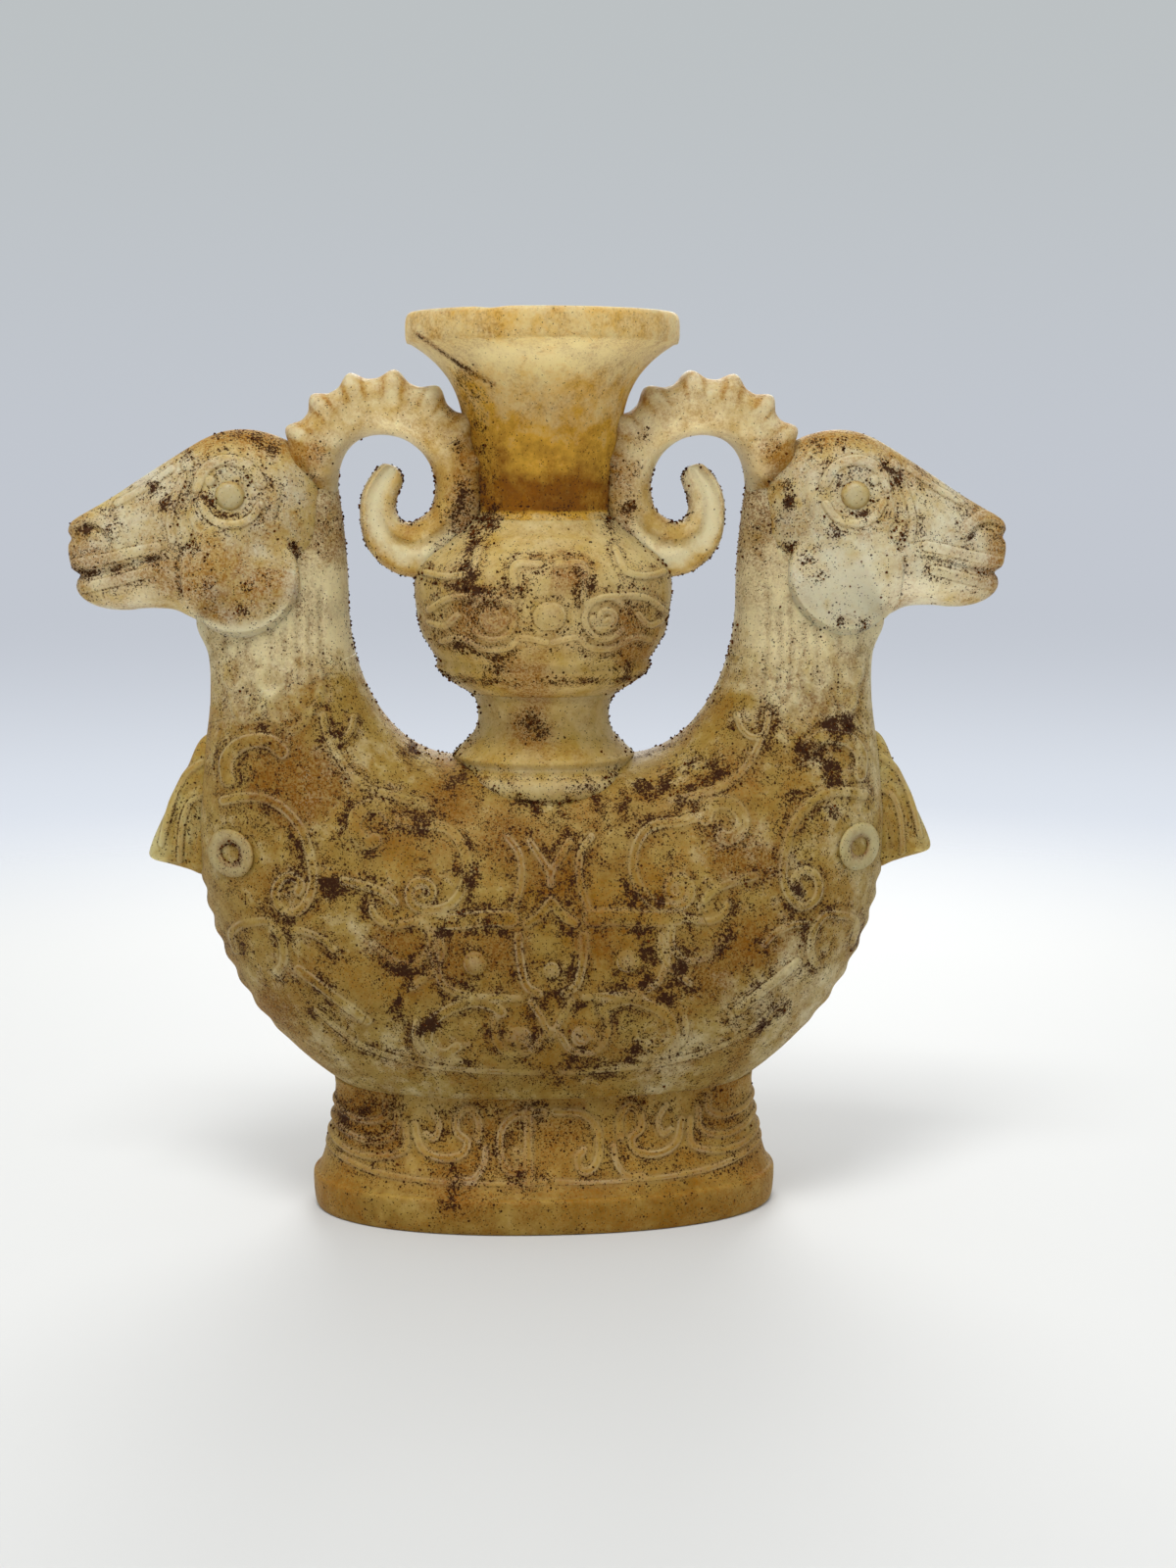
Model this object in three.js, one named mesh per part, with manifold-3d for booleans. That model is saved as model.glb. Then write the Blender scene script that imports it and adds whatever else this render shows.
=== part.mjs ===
// A double-ram vase in frosted cast glass. An oval foot carries a crescent belly that rises into two necks.
// A round vase with a trumpet mouth stands between them, held by the rams' curled horns.
// Millimetres, +Z up. The origin is the middle of the foot's underside, and the front faces -Y.
import * as THREE from "three";
import { mergeVertices } from "three/addons/utils/BufferGeometryUtils.js";
import Module from "manifold-3d";

const wasm = await Module();
wasm.setup();

// The joint between two pieces of glass: a thin even gap, as wide as the luting between them.
const seam = 0.3;

// The foot: a hollow oval stand with a plain band round its base.
const footHeight = 22;
const footBandHeight = 6;
const footBandLip = 1.1;
const footBaseHalfWidth = 39.7;
const footBaseHalfDepth = 22.6;
const footWaistHalfWidth = 35.9;
const footWaistHalfDepth = 16.3;
const footWall = 5;

// The belly: a crescent that is hollow from below, with a level saddle for the vase.
const deckHeight = 77;
const saddleHalfWidth = 14.5;
const bellyHalfWidth = 57.8;
const bellyHalfDepth = 24.5;
const bellyWidestDrop = 11;
const bellyRoundingBelowFoot = 10;
const bellyWall = 5;

// The necks: where the crescent's two ends stand upright. The elbow is measured from the deck, and the top
// from the elbow.
const neckInnerReach = 32.4;
const neckElbowRise = 26;
const neckTopRise = 16;
const neckWidth = 23.3;
const throatFlare = 1.9;
const neckHalfDepth = 9.8;
const neckTopHalfDepth = 7;
const neckTopWidth = 12;
const neckTopLean = 1.1;

// The vase: a waisted stem, a globe and a trumpet mouth, all turned about one axis.
const stemRadius = 11;
const stemHeight = 10.7;
const stemTopRadius = 12.4;
const collarRadius = 15.4;
const collarDrop = 5.5;
const globeRadius = 21.5;
const globeStepRadius = 17.9;
const globeHeight = 28.8;
const throatRadius = 12.2;
const trumpetHeight = 33.5;
const rimRadius = 22.6;
const lipHeight = 5;
const rimThickness = 1.8;
const cupDepth = 29.5;
const cupFloorRadius = 7.7;

// The rams' heads. The chin hangs just below the neck's elbow, and the other heights are measured from it.
const headSetback = 8.1;
const headLength = 38.1;
const headHeight = 29.8;
const chinDrop = 1.6;
const muzzleTipRise = 11.2;
const skullHalfDepth = 9.8;
const muzzleHalfDepth = 6.4;
const mouthRise = 5.8;
const mouthGroove = 0.9;
const mouthLength = 15;
const cheekRadius = 9.4;
const cheekHalfDepth = 11.2;
const cheekSetForward = 9.2;
const cheekRise = 5.2;
const eyeSetForward = 11.3;
const eyeRise = 18.8;
const eyeRadius = 2.5;
const eyeBulge = 1.3;

// The horns: a flat-sided band that arches from the head to the vase and curls up into a hook. The arch's top
// is placed from the back of the head and from the vase's throat.
const hornHalfDepth = 6;
const hornTipHalfDepth = 3.2;
const hornBehindHead = 14.1;
const hornAboveCrown = 3.7;
const hornOutsideThroat = 14.2;
const hornAboveGlobe = 18.4;
const hornRidgeCount = 7;
const hornRidgeHeight = 1;

// The breast fins, and the ring bosses on the shoulders, placed from the belly's widest line.
const finLength = 8.5;
const finTopRise = 16.5;
const finBottomDrop = 9;
const finHalfDepth = 4.4;
const bossInset = 6;
const bossDrop = 3.3;
const bossRadius = 3.9;
const bossHoleRadius = 1.5;
const bossThickness = 1.5;

// How finely the surfaces are divided, and how square their oval sections are.
const sidesRound = 24;
const vaseSegments = 32;
const hornSides = 10;
const sectionPower = 2.1;

// Places that follow from the sizes above.
const bellyWidestHeight = deckHeight - bellyWidestDrop;
const neckElbowHeight = deckHeight + neckElbowRise;
const neckTopHeight = neckElbowHeight + neckTopRise;
const stemTop = deckHeight + stemHeight;
const globeTop = stemTop + globeHeight;
const mouthTop = globeTop + trumpetHeight;
const cupFloor = mouthTop - cupDepth;
const headBackReach = neckInnerReach + headSetback;
const chinHeight = neckElbowHeight - chinDrop;
const crownHeight = chinHeight + headHeight;
const muzzleTipHeight = chinHeight + muzzleTipRise;
const mouthHeight = chinHeight + mouthRise;
const cheekReach = headBackReach + cheekSetForward;
const cheekHeight = chinHeight + cheekRise;
const eyeReach = headBackReach + eyeSetForward;
const eyeHeight = chinHeight + eyeRise;
const finReach = bellyHalfWidth + finLength;
const finTopHeight = bellyWidestHeight + finTopRise;
const finBottomHeight = bellyWidestHeight - finBottomDrop;
const bossReach = bellyHalfWidth - bossInset;
const bossHeight = bellyWidestHeight - bossDrop;
const hugeReach = 200;

const mix = (from, to, share) => from + (to - from) * share;
const smooth = (share) => share * share * (3 - 2 * share);
const limited = (value, low, high) => Math.min(high, Math.max(low, value));

// A closed geometry becomes a solid once its vertices are shared.
function solidOf(geometry) {
  const bare = geometry.clone();
  bare.deleteAttribute("normal");
  bare.deleteAttribute("uv");
  const merged = mergeVertices(bare, 1e-4);
  const vertProperties = new Float32Array(merged.attributes.position.array);
  const triVerts = new Uint32Array(merged.index.array);
  return new wasm.Manifold(new wasm.Mesh({ numProp: 3, vertProperties, triVerts }));
}

function geometryOf(solid) {
  const { numProp, vertProperties, triVerts } = solid.getMesh();
  const count = vertProperties.length / numProp;
  const positions = new Float32Array(count * 3);
  for (let i = 0; i < count; i++) {
    positions.set(vertProperties.subarray(i * numProp, i * numProp + 3), i * 3);
  }
  const geometry = new THREE.BufferGeometry();
  geometry.setAttribute("position", new THREE.BufferAttribute(positions, 3));
  geometry.setIndex(new THREE.BufferAttribute(new Uint32Array(triVerts), 1));
  return geometry;
}

// Rings of points joined side by side, with a fan over each end, and turned right side out.
function loft(rings) {
  const sides = rings[0].length;
  const points = rings.flat();
  const triangles = [];
  for (let ring = 0; ring + 1 < rings.length; ring++) {
    for (let side = 0; side < sides; side++) {
      const next = (side + 1) % sides;
      const [a, b] = [ring * sides + side, ring * sides + next];
      const [c, d] = [a + sides, b + sides];
      triangles.push([a, b, d], [a, d, c]);
    }
  }
  const caps = [[0, false], [rings.length - 1, true]];
  for (const [ring, last] of caps) {
    const middle = rings[ring].reduce((sum, p) => sum.clone().add(p)).clone().divideScalar(sides);
    const centre = points.push(middle) - 1;
    for (let side = 0; side < sides; side++) {
      const [a, b] = [ring * sides + side, ring * sides + ((side + 1) % sides)];
      triangles.push(last ? [centre, a, b] : [centre, b, a]);
    }
  }
  const cross = new THREE.Vector3();
  const volume = triangles.reduce((sum, [a, b, c]) => {
    return sum + points[a].dot(cross.crossVectors(points[b], points[c]));
  }, 0);
  const facing = volume > 0 ? triangles : triangles.map(([a, b, c]) => [a, c, b]);
  const geometry = new THREE.BufferGeometry().setFromPoints(points);
  geometry.setIndex(facing.flat());
  return geometry;
}

// A ring of points on a rounded-square oval that lies in the plane of `along` and `across`.
function ovalRing(centre, along, across, halfAlong, halfAcross, sides, power) {
  return Array.from({ length: sides }, (_, i) => {
    const angle = ((i + 0.5) / sides) * 2 * Math.PI;
    const [c, s] = [Math.cos(angle), Math.sin(angle)];
    const u = Math.sign(c) * Math.abs(c) ** (2 / power) * halfAlong;
    const v = Math.sign(s) * Math.abs(s) ** (2 / power) * halfAcross;
    return centre.clone().addScaledVector(along, u).addScaledVector(across, v);
  });
}

const depthAxis = new THREE.Vector3(0, 1, 0);

// The crescent is a fan of oval sections. Station 0 stands under the vase, bellyEnd is the joint with the
// neck and neckEnd is the neck's top. Each section runs from the inner outline to the outer one. Near the
// necks two stations are about stationSpacing apart.
const levelStations = 2.4;
const elbowStations = 12.1;
const widestStation = 8;
const bellyEnd = 10;
const neckStart = 12;
const neckEnd = 15;
const stationSpacing = 8;
const neckRise = (neckTopHeight - neckElbowHeight) / (neckEnd - elbowStations);

function innerOutline(station) {
  if (station <= levelStations) return [(saddleHalfWidth * station) / levelStations, deckHeight];
  if (station <= elbowStations) {
    const turn = ((station - levelStations) / (elbowStations - levelStations)) * (Math.PI / 2);
    return [
      saddleHalfWidth + (neckInnerReach - saddleHalfWidth) * Math.sin(turn),
      neckElbowHeight - (neckElbowHeight - deckHeight) * Math.cos(turn),
    ];
  }
  const above = station - elbowStations;
  const lean = neckTopLean * (above / (neckEnd - elbowStations)) ** 2;
  return [neckInnerReach + lean, neckElbowHeight + neckRise * above];
}

const neckOuterReach = neckInnerReach + neckWidth;
const outerNeckLine = new THREE.SplineCurve([
  new THREE.Vector2(0.995 * bellyHalfWidth, mix(bellyWidestHeight, footHeight, 0.14)),
  new THREE.Vector2(bellyHalfWidth, bellyWidestHeight),
  new THREE.Vector2(mix(bellyHalfWidth, neckOuterReach, 0.4), mix(bellyWidestHeight, neckElbowHeight, 0.27)),
  new THREE.Vector2(neckOuterReach, mix(bellyWidestHeight, neckElbowHeight, 0.53)),
  new THREE.Vector2(neckOuterReach, mix(bellyWidestHeight, neckElbowHeight, 0.75)),
  new THREE.Vector2(neckOuterReach + throatFlare, mix(bellyWidestHeight, neckElbowHeight, 0.92)),
  new THREE.Vector2(neckOuterReach - 0.6 * throatFlare, mix(neckElbowHeight, neckTopHeight, 0.3)),
  new THREE.Vector2(
    mix(neckOuterReach, neckInnerReach + neckTopWidth, 0.5),
    mix(neckElbowHeight, neckTopHeight, 0.7),
  ),
  new THREE.Vector2(neckInnerReach + neckTopLean + neckTopWidth, neckTopHeight),
]);

function outerOutline(station) {
  if (station < widestStation) {
    const turn = (station / widestStation) * (Math.PI / 2);
    const drop = bellyWidestHeight - footHeight + bellyRoundingBelowFoot;
    return [
      bellyHalfWidth * Math.sin(turn) ** (2 / sectionPower),
      bellyWidestHeight - drop * Math.cos(turn) ** (2 / sectionPower),
    ];
  }
  const spans = outerNeckLine.points.length - 1;
  const point = outerNeckLine.getPoint((1 + station - widestStation) / spans);
  return [point.x, point.y];
}

function crescentHalfDepth(station) {
  if (station <= neckStart) {
    return mix(bellyHalfDepth, neckHalfDepth, smooth((station / neckStart) ** 1.25));
  }
  return mix(neckHalfDepth, neckTopHalfDepth, (station - neckStart) / (neckEnd - neckStart));
}

function crescentSection(station, grow = 0) {
  const side = Math.sign(station) || 1;
  const inner = innerOutline(Math.abs(station));
  const outer = outerOutline(Math.abs(station));
  const from = new THREE.Vector3(inner[0] * side, 0, inner[1]);
  const to = new THREE.Vector3(outer[0] * side, 0, outer[1]);
  const along = to.clone().sub(from);
  const halfLength = along.length() / 2;
  const centre = from.clone().add(to).multiplyScalar(0.5);
  const halfDepth = crescentHalfDepth(Math.abs(station));
  return { centre, along: along.normalize(), halfLength: halfLength + grow, halfDepth: halfDepth + grow };
}

function crescent(first, last, steps, grow = 0) {
  const rings = Array.from({ length: steps + 1 }, (_, i) => {
    const { centre, along, halfLength, halfDepth } = crescentSection(mix(first, last, i / steps), grow);
    return ovalRing(centre, along, depthAxis, halfLength, halfDepth, sidesRound, sectionPower);
  });
  return solidOf(loft(rings));
}

// How far the crescent's face stands from the middle plane, at a place x, z on its right half.
function crescentDepthAt(x, z) {
  let best = { miss: Infinity };
  for (let station = 0; station <= neckEnd; station += 0.05) {
    const { centre, along, halfLength, halfDepth } = crescentSection(station);
    const reach = new THREE.Vector3(x, 0, z).sub(centre);
    const share = reach.dot(along) / halfLength;
    const miss = reach.addScaledVector(along, -share * halfLength).length();
    if (Math.abs(share) < 1 && miss < best.miss) {
      best = { miss, depth: halfDepth * (1 - Math.abs(share) ** sectionPower) ** (1 / sectionPower) };
    }
  }
  return best.depth;
}

const boxOf = (low, high) => {
  const size = high.map((value, i) => value - low[i]);
  const box = new THREE.BoxGeometry(...size);
  return solidOf(box.translate(...low.map((value, i) => value + size[i] / 2)));
};

function lathe(profile) {
  const points = profile.map(([r, z]) => new THREE.Vector2(r, z));
  return solidOf(new THREE.LatheGeometry(points, vaseSegments).rotateX(Math.PI / 2));
}

// The foot: ovals stacked from the base band up to the waist, with the same ovals drawn in for the hollow.
function ovalTower(levels) {
  const rings = levels.map(([z, halfWidth, halfDepth]) => {
    const middle = new THREE.Vector3(0, 0, z);
    const across = new THREE.Vector3(1, 0, 0);
    return ovalRing(middle, across, depthAxis, halfWidth, halfDepth, sidesRound * 1.5, 2.2);
  });
  return solidOf(loft(rings));
}

const footFlare = (share) => [
  mix(footBaseHalfWidth - footBandLip, footWaistHalfWidth, share),
  mix(footBaseHalfDepth - footBandLip, footWaistHalfDepth, share),
];

function footSolid() {
  const conical = [0, 0.35, 0.7, 0.9, 1].map((share) => {
    const height = mix(footBandHeight + 0.6 * footBandLip, footHeight, share);
    return [height, ...footFlare(Math.sin((share * Math.PI) / 2))];
  });
  const outside = ovalTower([
    [0, footBaseHalfWidth - 0.9 * footBandLip, footBaseHalfDepth - 0.9 * footBandLip],
    [0.23 * footBandHeight, footBaseHalfWidth - 0.2 * footBandLip, footBaseHalfDepth - 0.2 * footBandLip],
    [footBandHeight, footBaseHalfWidth, footBaseHalfDepth],
    ...conical,
  ]);
  const baseWall = footWall + footBandLip;
  const hollow = ovalTower([
    [-seam, footBaseHalfWidth - baseWall, footBaseHalfDepth - baseWall],
    [footBandHeight, footBaseHalfWidth - baseWall, footBaseHalfDepth - baseWall],
    [footHeight + seam, footWaistHalfWidth - footWall, footWaistHalfDepth - footWall],
  ]);
  return outside.subtract(hollow);
}

// The belly: the crescent between its two neck joints, cut level on the foot and hollow from below.
function bellySolid() {
  const outside = crescent(-bellyEnd, bellyEnd, 36);
  const hollowEnd = bellyEnd - bellyWall / stationSpacing;
  const hollow = crescent(-hollowEnd, hollowEnd, 20, -bellyWall);
  const footHollow = ovalTower([
    [footHeight - 1, footWaistHalfWidth - footWall, footWaistHalfDepth - footWall],
    [footHeight + bellyWall, footWaistHalfWidth - footWall, footWaistHalfDepth - footWall],
  ]);
  const belowFoot = boxOf([-hugeReach, -hugeReach, -hugeReach], [hugeReach, hugeReach, footHeight]);
  return outside.subtract(belowFoot).subtract(hollow).subtract(footHollow);
}

// One neck: the crescent's upright end, which runs on inside the head as a tenon.
function neckSolid(grow = 0) {
  const [before, after] = [innerOutline(bellyEnd - 0.5), innerOutline(bellyEnd + 0.5)];
  const spacing = Math.hypot(after[0] - before[0], after[1] - before[1]);
  return crescent(bellyEnd + seam / spacing, neckEnd, 10, grow);
}

// The head: upright oval sections from the back of the skull to the tip of the muzzle.
// Each row is a share of the head's length, then the top, the bottom and the half depth there.
function headRows() {
  const snout = crownHeight - muzzleTipHeight;
  const lipHalfDepth = mix(skullHalfDepth, muzzleHalfDepth, 0.8);
  return [
    [0, crownHeight - 0.22 * snout, muzzleTipHeight, 0.28 * skullHalfDepth],
    [0.05, crownHeight - 0.06 * snout, chinHeight + 0.6 * muzzleTipRise, 0.6 * skullHalfDepth],
    [0.14, crownHeight - 0.01 * snout, chinHeight + 0.25 * muzzleTipRise, 0.88 * skullHalfDepth],
    [0.25, crownHeight, chinHeight + 0.04 * muzzleTipRise, skullHalfDepth],
    [0.36, crownHeight - 0.03 * snout, chinHeight, skullHalfDepth],
    [0.47, crownHeight - 0.12 * snout, chinHeight - 0.02 * muzzleTipRise, 0.92 * skullHalfDepth],
    [0.57, crownHeight - 0.26 * snout, chinHeight, 0.83 * skullHalfDepth],
    [0.67, crownHeight - 0.39 * snout, chinHeight, 0.75 * skullHalfDepth],
    [0.78, crownHeight - 0.54 * snout, chinHeight + 0.01 * muzzleTipRise, lipHalfDepth],
    [0.88, crownHeight - 0.67 * snout, chinHeight + 0.08 * muzzleTipRise, muzzleHalfDepth],
    [0.95, crownHeight - 0.77 * snout, chinHeight + 0.24 * muzzleTipRise, 0.84 * muzzleHalfDepth],
    [0.985, crownHeight - 0.84 * snout, chinHeight + 0.43 * muzzleTipRise, 0.62 * muzzleHalfDepth],
    [1, crownHeight - 0.92 * snout, chinHeight + 0.64 * muzzleTipRise, 0.34 * muzzleHalfDepth],
  ];
}

const headPower = 2.2;

function skullSolid(grow = 0) {
  const up = new THREE.Vector3(0, 0, 1);
  const rows = headRows();
  const rings = rows.map(([share, top, bottom, halfDepth], i) => {
    const stretch = i === 0 ? -grow : i === rows.length - 1 ? grow : 0;
    const x = headBackReach + headLength * share + stretch;
    const centre = new THREE.Vector3(x, 0, (top + bottom) / 2);
    return ovalRing(centre, up, depthAxis, (top - bottom) / 2 + grow, halfDepth + grow, 24, headPower);
  });
  const cheeks = new THREE.SphereGeometry(1, 20, 12).rotateX(Math.PI / 2);
  cheeks.scale(cheekRadius + grow, cheekHalfDepth + grow, cheekRadius + grow);
  cheeks.translate(cheekReach, 0, cheekHeight);
  return solidOf(loft(rings)).add(solidOf(cheeks));
}

function headSolid() {
  const tip = headBackReach + headLength;
  const slit = boxOf(
    [tip - mouthLength, -hugeReach, mouthHeight - mouthGroove / 2],
    [tip + hugeReach, hugeReach, mouthHeight + mouthGroove / 2],
  );
  const groove = slit.subtract(skullSolid(-mouthGroove));
  return skullSolid().subtract(groove).subtract(neckSolid(seam));
}

// The half depth of the skull at the eye, from the two rows on either side of it.
function skullDepthAt(x, z) {
  const rows = headRows();
  const share = (x - headBackReach) / headLength;
  const after = rows.findIndex((row) => row[0] > share);
  const [a, b] = [rows[after - 1], rows[after]];
  const part = (share - a[0]) / (b[0] - a[0]);
  const [top, bottom, halfDepth] = [1, 2, 3].map((column) => mix(a[column], b[column], part));
  const height = Math.abs((z - (top + bottom) / 2) / ((top - bottom) / 2));
  return halfDepth * (1 - height ** headPower) ** (1 / headPower);
}

// An eye: a low round dome set on the side of the skull.
function eyeSolid(side) {
  const depth = skullDepthAt(eyeReach, eyeHeight);
  const dome = new THREE.SphereGeometry(1, 16, 10).rotateX(Math.PI / 2);
  dome.scale(eyeRadius, 2 * eyeBulge, eyeRadius);
  dome.translate(eyeReach, side * (depth - eyeBulge + seam), eyeHeight);
  return solidOf(dome).subtract(skullSolid(seam));
}

// The vase's outside, from the collar on the deck to the rim, as pairs of radius and height.
const collarProfile = () => [
  [collarRadius, deckHeight - 1.7 * collarDrop],
  [collarRadius, deckHeight - 0.25 * collarDrop],
  [0.967 * collarRadius, deckHeight - 0.15 * collarDrop],
  [0.987 * collarRadius, deckHeight + 0.04 * collarDrop],
  [mix(collarRadius, stemRadius, 0.5), deckHeight + 0.21 * stemHeight],
  [mix(collarRadius, stemRadius, 0.9), deckHeight + 0.4 * stemHeight],
  [stemRadius, deckHeight + 0.6 * stemHeight],
  [1.01 * stemRadius, deckHeight + 0.78 * stemHeight],
  [stemTopRadius, stemTop],
];

const globeProfile = () => [
  [stemTopRadius, stemTop],
  [mix(stemTopRadius, globeStepRadius, 0.5), stemTop + 0.055 * globeHeight],
  [0.97 * globeStepRadius, stemTop + 0.12 * globeHeight],
  [globeStepRadius, stemTop + 0.185 * globeHeight],
  [mix(globeStepRadius, globeRadius, 0.3), stemTop + 0.26 * globeHeight],
  [mix(globeStepRadius, globeRadius, 0.7), stemTop + 0.35 * globeHeight],
  [mix(globeStepRadius, globeRadius, 0.9), stemTop + 0.47 * globeHeight],
  [globeRadius, stemTop + 0.62 * globeHeight],
  [mix(globeStepRadius, globeRadius, 0.83), stemTop + 0.72 * globeHeight],
  [mix(globeRadius, throatRadius, 0.27), stemTop + 0.8 * globeHeight],
  [mix(globeRadius, throatRadius, 0.52), stemTop + 0.86 * globeHeight],
  [mix(globeRadius, throatRadius, 0.8), stemTop + 0.94 * globeHeight],
  [1.03 * throatRadius, globeTop],
];

const trumpetProfile = () => {
  const flareTop = mouthTop - lipHeight;
  const flare = [0, 0.2, 0.36, 0.5, 0.62, 0.72, 0.81, 0.89, 0.95, 1];
  const spread = (share) => 0.09 * Math.sin(share * Math.PI) ** 2 + share ** 4.4;
  return [
    [1.03 * throatRadius, globeTop],
    ...flare.map((share) => [
      mix(0.95 * throatRadius, 0.96 * rimRadius, spread(share)),
      mix(globeTop + 0.1 * throatRadius, flareTop, share),
    ]),
    [0.99 * rimRadius, flareTop + 0.04 * lipHeight],
    [rimRadius, flareTop + 0.5 * lipHeight],
    [0.99 * rimRadius, mouthTop - 0.1 * lipHeight],
    [0.97 * rimRadius, mouthTop],
  ];
};

const onAxis = (profile) => [[0, profile[0][1]], ...profile, [0, profile.at(-1)[1]]];

// The whole vase grown by a clearance, for cutting what is luted against it.
function vaseSolid(grow) {
  const outside = [...collarProfile(), ...globeProfile().slice(1), ...trumpetProfile().slice(1)];
  return lathe(onAxis(outside.map(([r, z]) => [r + grow, z])));
}

function stemSolid() {
  return lathe(onAxis(collarProfile())).subtract(crescent(-neckEnd, neckEnd, 48, seam));
}

function trumpetSolid() {
  const rimInside = rimRadius - rimThickness;
  const shares = [0, 0.25, 0.45, 0.62, 0.76, 0.88, 1];
  const cup = shares.map((share) => [
    mix(cupFloorRadius, rimInside, 0.18 * share + 0.82 * share ** 3),
    mix(cupFloor + 0.15 * cupFloorRadius, mouthTop, share),
  ]);
  const hollow = [[0.85 * cupFloorRadius, cupFloor], ...cup, [rimInside, mouthTop + seam]];
  return lathe(onAxis(trumpetProfile())).subtract(lathe(onAxis(hollow)));
}

// The horn's centre line in the plane of the heads. Each row is how far the point is outside and above the
// top of the arch, the half width of the band there, and its share of the vase's place against the head's.
const hornLine = [
  [11.8, -19.5, 4.4, 0],
  [11.9, -13.5, 4.3, 0],
  [11.3, -8.2, 4.3, 0],
  [8.9, -3.9, 4.4, 0.2],
  [5.1, -1, 4.5, 0.35],
  [0, 0, 4.6, 0.5],
  [-5.4, -1.4, 4.4, 0.65],
  [-9.8, -4.9, 4.3, 0.8],
  [-12.2, -9.7, 4.2, 1],
  [-12.6, -14.7, 4.2, 1],
  [-11.2, -19.4, 4.4, 1],
  [-7.6, -22.8, 4.8, 1],
  [-3.8, -23.3, 4.5, 1],
  [-0.5, -21.3, 3.8, 1],
  [0.9, -17.9, 3.1, 1],
  [0.6, -14.4, 2.9, 1],
  [-1.1, -11.2, 2.4, 1],
  [-2, -9.8, 1.4, 1],
];
const hornRidgeSpan = [0.1, 0.5];

function hornSolid() {
  const place = ([out, up, , share]) => {
    const reach = mix(headBackReach - hornBehindHead, throatRadius + hornOutsideThroat, share);
    const height = mix(crownHeight + hornAboveCrown, globeTop + hornAboveGlobe, share);
    return new THREE.Vector3(reach + out, 0, height + up);
  };
  const path = new THREE.CatmullRomCurve3(hornLine.map(place));
  const widths = new THREE.CatmullRomCurve3(hornLine.map(([, , half], i) => new THREE.Vector3(i, half, 0)));
  const steps = 64;
  const rings = Array.from({ length: steps + 1 }, (_, i) => {
    const share = i / steps;
    const centre = path.getPoint(share);
    const tangent = path.getTangent(share);
    const outward = new THREE.Vector3(-tangent.z, 0, tangent.x).multiplyScalar(-1);
    const half = widths.getPoint(share).y;
    const [first, last] = hornRidgeSpan;
    const ridgePlace = limited((share - first) / (last - first), 0, 1);
    const ridge = hornRidgeHeight * Math.sin(ridgePlace * hornRidgeCount * Math.PI) ** 2;
    const depth = mix(hornHalfDepth, hornTipHalfDepth, smooth(limited((share - 0.55) / 0.45, 0, 1)));
    centre.addScaledVector(outward, ridge / 2);
    return ovalRing(centre, outward, depthAxis, half + ridge / 2, depth, hornSides, 2.6);
  });
  const luted = vaseSolid(seam).add(neckSolid(seam)).add(skullSolid(seam));
  return solidOf(loft(rings)).subtract(luted);
}

// A breast fin: a flat pointed wing that stands out from the belly under the throat.
function finSolid() {
  // Each row is a share of the way out, then how far the top falls, the bottom rises and the thickness there.
  const rows = [
    [-0.63, 0.02, 0, 1],
    [0, 0.08, 0, 0.95],
    [0.3, 0.28, 0.04, 0.85],
    [0.6, 0.5, 0.075, 0.74],
    [0.85, 0.69, 0.1, 0.6],
    [0.96, 0.79, 0.12, 0.45],
    [1, 0.84, 0.145, 0.22],
  ];
  const height = finTopHeight - finBottomHeight;
  const root = bellyHalfWidth - 0.12 * finLength;
  const rings = rows.map(([share, fall, rise, thick]) => {
    const x = mix(root, finReach, share);
    const [top, bottom] = [finTopHeight - fall * height, finBottomHeight + rise * height];
    const centre = new THREE.Vector3(x, 0, (top + bottom) / 2);
    const up = new THREE.Vector3(0, 0, 1);
    return ovalRing(centre, up, depthAxis, (top - bottom) / 2, finHalfDepth * thick, 16, 3);
  });
  const throat = boxOf([0, -hugeReach, finTopHeight - 0.04 * height], [bellyHalfWidth, hugeReach, hugeReach]);
  return solidOf(loft(rings)).subtract(crescent(0, neckEnd, 40, seam)).subtract(throat);
}

// A shoulder boss: a ring of glass that lies flat on the belly's curved side.
function bossSolid(side) {
  const apart = bossHoleRadius;
  const middle = crescentDepthAt(bossReach, bossHeight);
  const outer = crescentDepthAt(bossReach + apart, bossHeight);
  const inner = crescentDepthAt(bossReach - apart, bossHeight);
  const above = crescentDepthAt(bossReach, bossHeight + apart);
  const below = crescentDepthAt(bossReach, bossHeight - apart);
  const slopes = new THREE.Vector3((inner - outer) / (2 * apart), side, (below - above) / (2 * apart));
  const profile = [
    [bossHoleRadius, -1.3 * bossThickness],
    [bossRadius, -1.3 * bossThickness],
    [bossRadius, 0.6 * bossThickness],
    [mix(bossRadius, bossHoleRadius, 0.25), bossThickness],
    [mix(bossRadius, bossHoleRadius, 0.7), bossThickness],
    [bossHoleRadius, 0.5 * bossThickness],
    [bossHoleRadius, -1.3 * bossThickness],
  ];
  const points = profile.map(([r, z]) => new THREE.Vector2(r, z));
  const ring = new THREE.LatheGeometry(points, 20);
  ring.applyQuaternion(new THREE.Quaternion().setFromUnitVectors(depthAxis, slopes.normalize()));
  ring.translate(bossReach, side * middle, bossHeight);
  return solidOf(ring).subtract(crescent(0, neckEnd, 60, seam));
}

// The glass: one frosted batch for every piece, a little paler where it is thin.
const glass = (name, colour) => {
  return new THREE.MeshStandardMaterial({ name, color: colour, roughness: 0.55, metalness: 0 });
};
const footGlass = glass("foot_glass", 0xb08c5c);
const bellyGlass = glass("belly_glass", 0xb39a67);
const vaseGlass = glass("vase_glass", 0xc0a173);
const headGlass = glass("head_glass", 0xd2c2a0);
const hornGlass = glass("horn_glass", 0xcdb68a);
const bossGlass = glass("boss_glass", 0xc9bd9a);

const vessel = new THREE.Group();

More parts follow.
